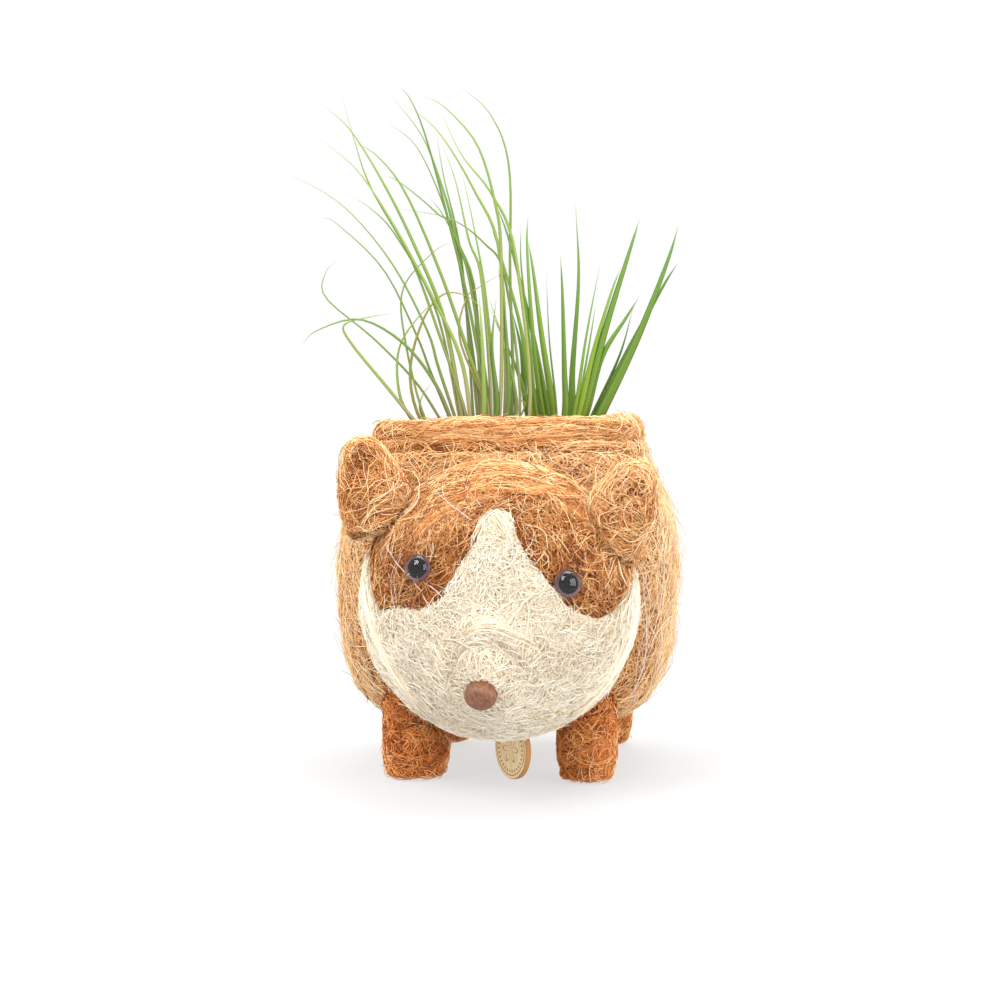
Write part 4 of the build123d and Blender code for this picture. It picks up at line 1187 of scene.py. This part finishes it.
# Leaf routes in the photograph's pixels, from just over the rim to the tip, each after its width in mm
LEFT_LEAVES = [
    (1.5, (455, 417), (438, 366), (427, 330), (391, 262), (341, 204), (283, 170)),
    (1.3, (450, 419), (431, 373), (416, 334), (383, 269), (336, 223), (320, 217)),
    (1.9, (470, 415), (461, 359), (436, 304), (393, 224), (356, 169), (315, 135)),
    (2.0, (462, 416), (444, 319), (416, 249), (386, 188), (351, 131), (321, 103)),
    (1.4, (466, 415), (439, 334), (411, 259), (371, 188), (355, 143), (342, 96)),
    (1.9, (488, 410), (469, 355), (442, 277), (406, 194), (376, 155), (350, 141)),
    (1.2, (459, 416), (436, 310), (396, 236), (370, 208), (351, 196)),
    (1.3, (480, 411), (466, 305), (450, 225), (419, 151), (387, 122)),
    (2.2, (482, 411), (474, 291), (457, 241), (446, 199), (424, 140), (392, 97)),
    (1.5, (486, 411), (470, 310), (447, 215), (426, 138), (411, 101), (398, 86)),
    (1.7, (505, 411), (500, 257), (474, 191), (436, 130), (396, 100)),
    (1.7, (500, 411), (501, 257), (495, 204), (477, 146), (444, 108), (424, 98)),
    (1.5, (512, 411), (510, 274), (509, 169), (490, 116), (457, 86)),
    (1.7, (530, 411), (515, 254), (492, 196), (461, 155), (439, 108)),
    (1.3, (473, 411), (462, 262), (444, 178), (436, 131)),
    (1.6, (491, 411), (482, 282), (469, 241), (456, 183), (442, 145)),
    (1.6, (495, 411), (486, 299), (474, 228), (461, 168)),
    (1.3, (520, 411), (505, 279), (484, 244), (449, 219), (398, 209)),
    (1.3, (477, 411), (457, 243), (436, 213), (399, 182), (383, 176)),
    (1.6, (489, 411), (478, 330), (464, 259), (442, 214), (429, 198)),
    (1.1, (425, 419), (405, 340), (403, 289), (432, 254), (452, 242)),
    (1.2, (440, 419), (414, 380), (373, 338), (325, 297), (325, 272), (338, 259)),
    (1.7, (450, 417), (433, 380), (402, 342), (359, 319), (316, 330), (300, 345)),
    (1.6, (414, 420), (386, 386), (350, 342), (344, 324), (373, 316), (391, 314)),
    (1.5, (410, 417), (398, 386), (400, 345), (424, 311), (443, 299)),
    (2.6, (508, 411), (505, 320), (498, 268)),
    (2.8, (484, 411), (482, 340), (479, 293)),
    (2.8, (497, 411), (492, 350), (496, 300)),
    (2.2, (516, 411), (504, 345), (488, 296)),
]
DRY_LEAVES = [
    (1.4, (420, 419), (410, 370), (424, 318), (445, 294), (471, 299), (493, 323)),
    (1.2, (487, 411), (460, 340), (466, 300), (479, 288), (512, 268)),
    (1.0, (423, 418), (421, 399), (433, 381)),
    (0.9, (524, 409), (519, 399), (528, 392)),
]
RIGHT_LEAVES = [
    (4.0, (571, 412), (572, 370), (578, 280), (575, 208)),
    (3.6, (565, 412), (564, 370), (562, 295), (560, 256)),
    (4.6, (583, 411), (604, 332), (628, 254), (638, 222)),
    (3.2, (580, 408), (593, 352), (610, 295), (620, 268)),
    (4.8, (601, 412), (637, 337), (665, 265), (676, 229)),
    (3.4, (597, 411), (632, 342), (662, 287), (676, 265)),
    (3.8, (586, 411), (601, 358), (625, 319), (638, 298)),
    (2.2, (594, 411), (619, 355), (632, 308)),
    (2.2, (575, 408), (586, 335), (600, 262)),
    (1.6, (577, 410), (590, 337), (595, 304)),
    (3.2, (542, 412), (533, 340), (527, 250), (528, 216)),
    (3.8, (553, 412), (542, 340), (533, 272), (527, 238)),
    (1.4, (556, 411), (549, 340), (546, 274)),
    (2.0, (536, 411), (529, 340), (521, 265), (521, 225)),
    (3.0, (547, 410), (532, 332), (509, 241), (493, 199)),
    (2.6, (533, 411), (521, 330), (500, 254), (491, 228)),
    (3.4, (530, 411), (515, 365), (490, 310)),
    (3.6, (527, 410), (521, 350), (511, 308)),
    (3.0, (539, 411), (529, 370), (525, 333)),
]
BULB_TOP = 124.3
LEAF_HEIGHT = 150
LEFT_BULB = (-14, -17)
RIGHT_BULB = (19, 12)
# The photograph's own view: its turn, millimetres a pixel, distance, and the origin's pixel and height
VIEW_TURN = math.radians(5.5)
PIXEL_SIZE = 0.4135
VIEW_DISTANCE = 845
ORIGIN_PIXEL = (511.5, 450)
ORIGIN_HEIGHT = 128


def seen_leaf_place(pixel, depth):
    """Where a pixel of the photograph lies at a depth behind the origin."""
    away = PIXEL_SIZE * (1 + depth / VIEW_DISTANCE)
    across = (pixel[0] - ORIGIN_PIXEL[0]) * away
    height = ORIGIN_HEIGHT + (ORIGIN_PIXEL[1] - pixel[1]) * away
    return np.array((across / math.cos(VIEW_TURN) - depth * math.tan(VIEW_TURN), depth, height))


def leaf_routes(leaves, bulb, lane_width, fan, lean):
    """Curves of one plant's leaves, each in its own lane from front to back."""
    pixels = [leaf[1:] for leaf in leaves]
    starts = [route[0][0] for route in pixels]
    middle = (min(starts) + max(starts)) / 2
    order = sorted(range(len(pixels)), key=lambda i: -abs(starts[i] - middle))
    step = lane_width / (len(pixels) - 1)
    lanes = [0.0] * len(pixels)
    for rank, index in enumerate(order):
        lanes[index] = (1 if rank % 2 else -1) * (rank + 1) // 2 * step
    firsts = [seen_leaf_place(route[0], bulb[1])[0] for route in pixels]
    centre = (min(firsts) + max(firsts)) / 2
    routes = []
    for route, first, lane in zip(pixels, firsts, lanes):
        points = [np.array((bulb[0] + 0.42 * (first - centre), bulb[1] + lane, BULB_TOP))]
        for pixel in route:
            bow = ((seen_leaf_place(pixel, bulb[1])[2] - BULB_TOP) / LEAF_HEIGHT) ** 1.5
            points.append(seen_leaf_place(pixel, bulb[1] + lane * (1 + fan * bow) + lean * bow))
        routes.append(points)
    return routes


def leaf_mesh(name, routes, widths, thick, fold, taper, shades):
    """Channelled blades that taper to a point; the map holds each blade's shade and the place along."""
    steps = bpy.context.scene.plants.blade_steps
    t = np.linspace(0, 1, steps + 1)
    # across the blade: outside from edge to edge, then back along the inside
    profile = np.array(
        [(-1, 0), (-0.55, -0.16), (0, -0.25), (0.55, -0.16), (1, 0), (0.5, 0.07), (0, 0.0), (-0.5, 0.07)]
    )
    around = len(profile)
    points, faces, uvs = [], [], []
    for route, width, shade in zip(routes, widths, shades):
        line = smooth_curve(route, steps + 1)
        along = unit(np.gradient(line, axis=0))
        along[0] = (0, 0, 1)
        across = unit(np.cross((0, 1.0, 0), along))
        out = np.cross(along, across)
        size = np.maximum(1 - t**taper, 0.03)
        half = width / 2 * size
        deep = np.minimum(half * fold, thick * 2.2) + thick * 0.25
        first = len(points)
        for k in range(steps + 1):
            for a, b in profile:
                points.append(line[k] + across[k] * a * half[k] + out[k] * b * 4 * deep[k])
        for k in range(steps):
            for j in range(around):
                n = (j + 1) % around
                low, high = first + k * around, first + (k + 1) * around
                faces.append((low + j, low + n, high + n, high + j))
                u = 0.02 * (j % 4) / 4
                uvs += [(shade + u, t[k]), (shade + u + 0.005, t[k])]
                uvs += [(shade + u + 0.005, t[k + 1]), (shade + u, t[k + 1])]
        faces.append(tuple(range(first, first + around))[::-1])
        uvs += [(shade + 0.004 * j, 0.004 * (j % 2)) for j in range(around)]
        last = first + steps * around
        faces.append(tuple(range(last, last + around)))
        uvs += [(shade + 0.004 * j, 1 - 0.004 * (j % 2)) for j in range(around)]
    mesh = smooth_mesh(name, np.array(points), faces)
    layer = mesh.uv_layers.new(name=MAP_NAME)
    layer.data.foreach_set("uv", np.array(uvs).clip(0, 1).ravel())
    return mesh


def leaf_material(name, shade_stops, along_stops, roughness):
    """A living leaf: thin and a little waxy."""
    material = strand_material(name, shade_stops, along_stops, roughness)
    shader = next(n for n in material.node_tree.nodes if n.type == "BSDF_PRINCIPLED")
    shader.inputs["Specular IOR Level"].default_value = 0.45
    return material


class PLANTER_OT_plants(bpy.types.Operator):
    """Two air plants: narrow arching leaves on the left, broad pointed leaves on the right"""

    bl_idname = "planter.plants"
    bl_label = "Air plants"

    def execute(self, context):
        rng = np.random.default_rng(RNG_SEED + 70)
        # silvery grass leaf: lilac-brown sheath, olive blade, yellow-green tip
        grey = leaf_material(
            "grass_leaf_silvery",
            [(0.0, "#A8B478"), (0.4, "#CCD494"), (0.7, "#E2E4AC"), (1.0, "#F6EEC4")],
            [(0.0, "#A0928A"), (0.18, "#A39C84"), (0.34, "#8AA05A"), (0.62, "#84A65C"), (1.0, "#B4C896")],
            0.5,
        )
        dry = leaf_material(
            "grass_leaf_dried",
            [(0.0, "#DCD4A0"), (1.0, "#FFF8D8")],
            [(0.0, "#8C8450"), (0.4, "#9A9650"), (0.8, "#B2AA6C"), (1.0, "#D8CCA0")],
            0.7,
        )
        green = leaf_material(
            "broad_leaf_green",
            [(0.0, "#9CB460"), (0.5, "#CCE08C"), (1.0, "#F2F8BC")],
            [(0.0, "#747A20"), (0.2, "#82961E"), (0.55, "#78962E"), (0.85, "#7CA062"), (1.0, "#AEC8A4")],
            0.45,
        )
        left = leaf_routes(LEFT_LEAVES + DRY_LEAVES, LEFT_BULB, 19, 1.3, -10)
        right = leaf_routes(RIGHT_LEAVES, RIGHT_BULB, 15, 1.2, 8)
        split = len(LEFT_LEAVES)
        for name, routes, leaves, material, body, slot, fold, taper in (
            ("plant_left_leaves", left[:split], LEFT_LEAVES, grey, "plant_left", "grey_leaf", 0.5, 1.5),
            ("plant_left_dry_leaves", left[split:], DRY_LEAVES, dry, "plant_left", "dry_leaf", 0.5, 1.5),
            ("plant_right_leaves", right, RIGHT_LEAVES, green, "plant_right", "green_leaf", 0.4, 1.3),
        ):
            widths = [leaf[0] for leaf in leaves]
            shades = rng.uniform(0.05, 0.9, len(leaves))
            mesh = leaf_mesh(f"{name}_grown", routes, widths, 0.3, fold, taper, shades)
            place_piece(f"{name}_grown", mesh, material, body, [name])
        # closed leaf sheaths: dry brown scales, ribbed lengthwise
        sheath = speckled("leaf_sheath", "#A58E6A", "#6B5A3C", 1.2, 0.7, 0.4, stretch=(1, 1, 0.2))
        for name, body, (x, y), radius, slot in (
            ("plant_left_base", "plant_left", LEFT_BULB, 12.5, "grey_leaf"),
            ("plant_right_base", "plant_right", RIGHT_BULB, 10, "green_leaf"),
        ):
            low, high = (np.array(v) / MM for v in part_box(name))
            angle = circle_steps(96)
            rows = []
            for t in np.linspace(0, 1, 22):
                ribs = 0.035 * np.sin(angle * 9 + 1.2 * t) + 0.02 * np.sin(angle * 23 - t)
                reach = radius * (0.99 - 0.15 * t**2) * (1 - 0.05 + ribs) * min(1, 0.55 + 3 * t)
                reach = reach * min(1, 0.25 + 4 * (1 - t)) ** 0.5
                ring = np.stack([x + reach * np.cos(angle), y + reach * np.sin(angle), 0 * angle], 1)
                ring[:, 2] = low[2] + (high[2] - low[2]) * t
                rows.append(ring)
            mesh = skin(f"{name}_sheaths", np.array(rows))
            place_piece(f"{name}_sheaths", mesh, sheath, body, [name])
        return {"FINISHED"}


class PLANTER_OT_inside(bpy.types.Operator):
    """Packed fibre in the liner, and the materials of the hidden solids"""

    bl_idname = "planter.inside"
    bl_label = "Inside"

    def execute(self, context):
        # loose brown coir that the plants stand on
        felt = felted_piece(
            "fibre_bed_felt", ["fibre_bed"], husk_felt(), 1.6, 1.0, 1.0, body="liner"
        )
        lay_strands(
            "fibre_bed_strands", Surface(felt), brown_strands(), 2300, any_way,
            lambda places, normals: (normals[:, 2] > 0.5) & (np.abs(places[:, :2]).max(axis=1) < 25),
            context.scene.coir.strand_radius, length=13, curl=0.3, lift=(0.1, 1.0), loose=0.01,
            loose_rise=1.0, shade_mean=0.35, seed=80, body="liner",
        )
        # injection-moulded polypropylene: black-brown, dull, faintly mottled
        plastic = speckled("moulded_polypropylene", "#3A322C", "#2A2420", 3, 0.45, 0.05)
        # drawn steel wire with a dull zinc coat
        zinc = speckled("galvanised_wire", "#A7A9AA", "#7F8284", 0.8, 0.45, 0.03, 1.0)
        # seasoned beech peg
        peg = speckled("beech_peg", "#C9A274", "#A67C4E", 0.7, 0.6, 0.05, stretch=(1, 0.2, 1))
        packed = husk_felt()
        kinds = {"liner_pot": plastic, "nose_peg": peg, "head_core": packed, "tag_stitch": binding_thread()}
        for name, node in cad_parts.items():
            if any(word in name for word in ("hoop", "rib", "wire", "shank")):
                kinds[name] = zinc
        for name, material in kinds.items():
            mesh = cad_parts[name].data
            mesh.materials.clear()
            mesh.materials.append(material)
        return {"FINISHED"}


FLOOR_RADIUS = 0.62  # metres
# Softboxes: name, place and width in metres, watts
SOFTBOXES = (
    ("key_softbox", (-0.45, -0.8, 0.95), 0.6, 11.5),
    ("fill_softbox", (0.9, -0.7, 0.35), 0.8, 8.0),
    ("top_softbox", (0.1, 0.25, 1.1), 0.8, 8.5),
)


class PLANTER_OT_stage(bpy.types.Operator):
    """Pale floor, soft light and the camera"""

    bl_idname = "planter.stage"
    bl_label = "Stage"

    def execute(self, context):
        scene = context.scene
        scene.view_settings.view_transform = "Standard"
        material, tree, shader = new_material("lit_acrylic_sweep")
        # white acrylic that glows a little, as painted light from below, and fades into the white of the room
        shader.inputs["Base Color"].default_value = scene.stage.floor_colour
        shader.inputs["Roughness"].default_value = 0.8
        shader.inputs["Emission Color"].default_value = (1, 1, 1, 1)
        shader.inputs["Emission Strength"].default_value = scene.stage.floor_glow
        place = add_node(tree, "ShaderNodeTexCoord")
        reach = add_node(tree, "ShaderNodeVectorMath", {0: place.outputs["Object"]}, operation="LENGTH")
        inputs = {"Value": reach.outputs["Value"], "From Min": 0.22, "From Max": 0.6, "To Min": 1, "To Max": 0}
        fade = add_node(tree, "ShaderNodeMapRange", inputs, interpolation_type="SMOOTHSTEP")
        tree.links.new(fade.outputs["Result"], shader.inputs["Alpha"])
        mesh = bpy.data.meshes.new("floor")
        ring = [(FLOOR_RADIUS * math.cos(a), FLOOR_RADIUS * math.sin(a), 0) for a in circle_steps(96)]
        mesh.from_pydata(ring, [], [tuple(range(96))])
        mesh.materials.append(material)
        floor = bpy.data.objects.new("floor", mesh)
        scene.collection.objects.link(floor)

        world = bpy.data.worlds.new("soft_white_room")
        world.use_nodes = True
        scene.world = world
        tree = world.node_tree
        tree.nodes.clear()
        path = add_node(tree, "ShaderNodeLightPath")
        # the camera, glass and shiny pieces see plain white; the object is lit at its own level
        seen = path.outputs["Is Camera Ray"]
        for ray in ("Is Transmission Ray", "Is Glossy Ray"):
            inputs = {0: seen, 1: path.outputs[ray]}
            seen = add_node(tree, "ShaderNodeMath", inputs, operation="MAXIMUM").outputs[0]
        white = (1, 1, 1, 1)
        lit = add_node(tree, "ShaderNodeBackground", {"Color": white, "Strength": scene.stage.light_level})
        plain = add_node(tree, "ShaderNodeBackground", {"Color": white, "Strength": 1.0})
        mix = add_node(tree, "ShaderNodeMixShader", {0: seen, 1: lit.outputs[0], 2: plain.outputs[0]})
        output = add_node(tree, "ShaderNodeOutputWorld")
        tree.links.new(mix.outputs[0], output.inputs["Surface"])

        for name, place, size, power in SOFTBOXES:
            light = bpy.data.lights.new(name, "AREA")
            light.size = size
            light.energy = power
            obj = bpy.data.objects.new(name, light)
            obj.location = place
            aim = Vector((0, -0.03, 0.1)) - obj.location
            obj.rotation_euler = aim.to_track_quat("-Z", "Y").to_euler()
            scene.collection.objects.link(obj)

        camera = bpy.data.cameras.new("camera")
        camera.sensor_width = 36
        camera.lens = 36 * FOCAL_PIXELS / 1000
        obj = bpy.data.objects.new("camera", camera)
        obj.location = CAMERA_AT
        obj.rotation_euler = CAMERA_LOOKS.to_track_quat("-Z", "Y").to_euler()
        scene.collection.objects.link(obj)
        scene.camera = obj
        return {"FINISHED"}


class PLANTER_PT_panel(bpy.types.Panel):
    """Lists the planter's steps"""

    bl_idname = "PLANTER_PT_panel"
    bl_label = "Coir dog planter"
    bl_space_type = "VIEW_3D"
    bl_region_type = "UI"
    bl_category = "Planter"

    def draw(self, context):
        for settings in (context.scene.coir, context.scene.plants, context.scene.stage):
            for key in settings.bl_rna.properties.keys():
                if key not in ("rna_type", "name"):
                    self.layout.prop(settings, key)
        for step in STEPS:
            self.layout.operator(step.bl_idname)


SETTINGS = {"coir": CoirSettings, "plants": PlantSettings, "stage": StageSettings}
STEPS = (
    PLANTER_OT_stage,
    PLANTER_OT_body,
    PLANTER_OT_rim,
    PLANTER_OT_head,
    PLANTER_OT_ears,
    PLANTER_OT_legs,
    PLANTER_OT_threads,
    PLANTER_OT_eyes,
    PLANTER_OT_nose,
    PLANTER_OT_tag,
    PLANTER_OT_plants,
    PLANTER_OT_inside,
)


def register():
    """Adds the classes and the scene's settings."""
    for cls in (*SETTINGS.values(), *STEPS, PLANTER_PT_panel):
        bpy.utils.register_class(cls)
    for key, cls in SETTINGS.items():
        setattr(bpy.types.Scene, key, bpy.props.PointerProperty(type=cls))


def unregister():
    """Takes the classes and the scene's settings out again."""
    for key in SETTINGS:
        delattr(bpy.types.Scene, key)
    for cls in (PLANTER_PT_panel, *reversed(STEPS), *SETTINGS.values()):
        bpy.utils.unregister_class(cls)


def main():
    """Dresses the whole planter."""
    register()
    for step in STEPS:
        group, name = step.bl_idname.split(".")
        getattr(getattr(bpy.ops, group), name)()


if __name__ == "__main__":
    main()
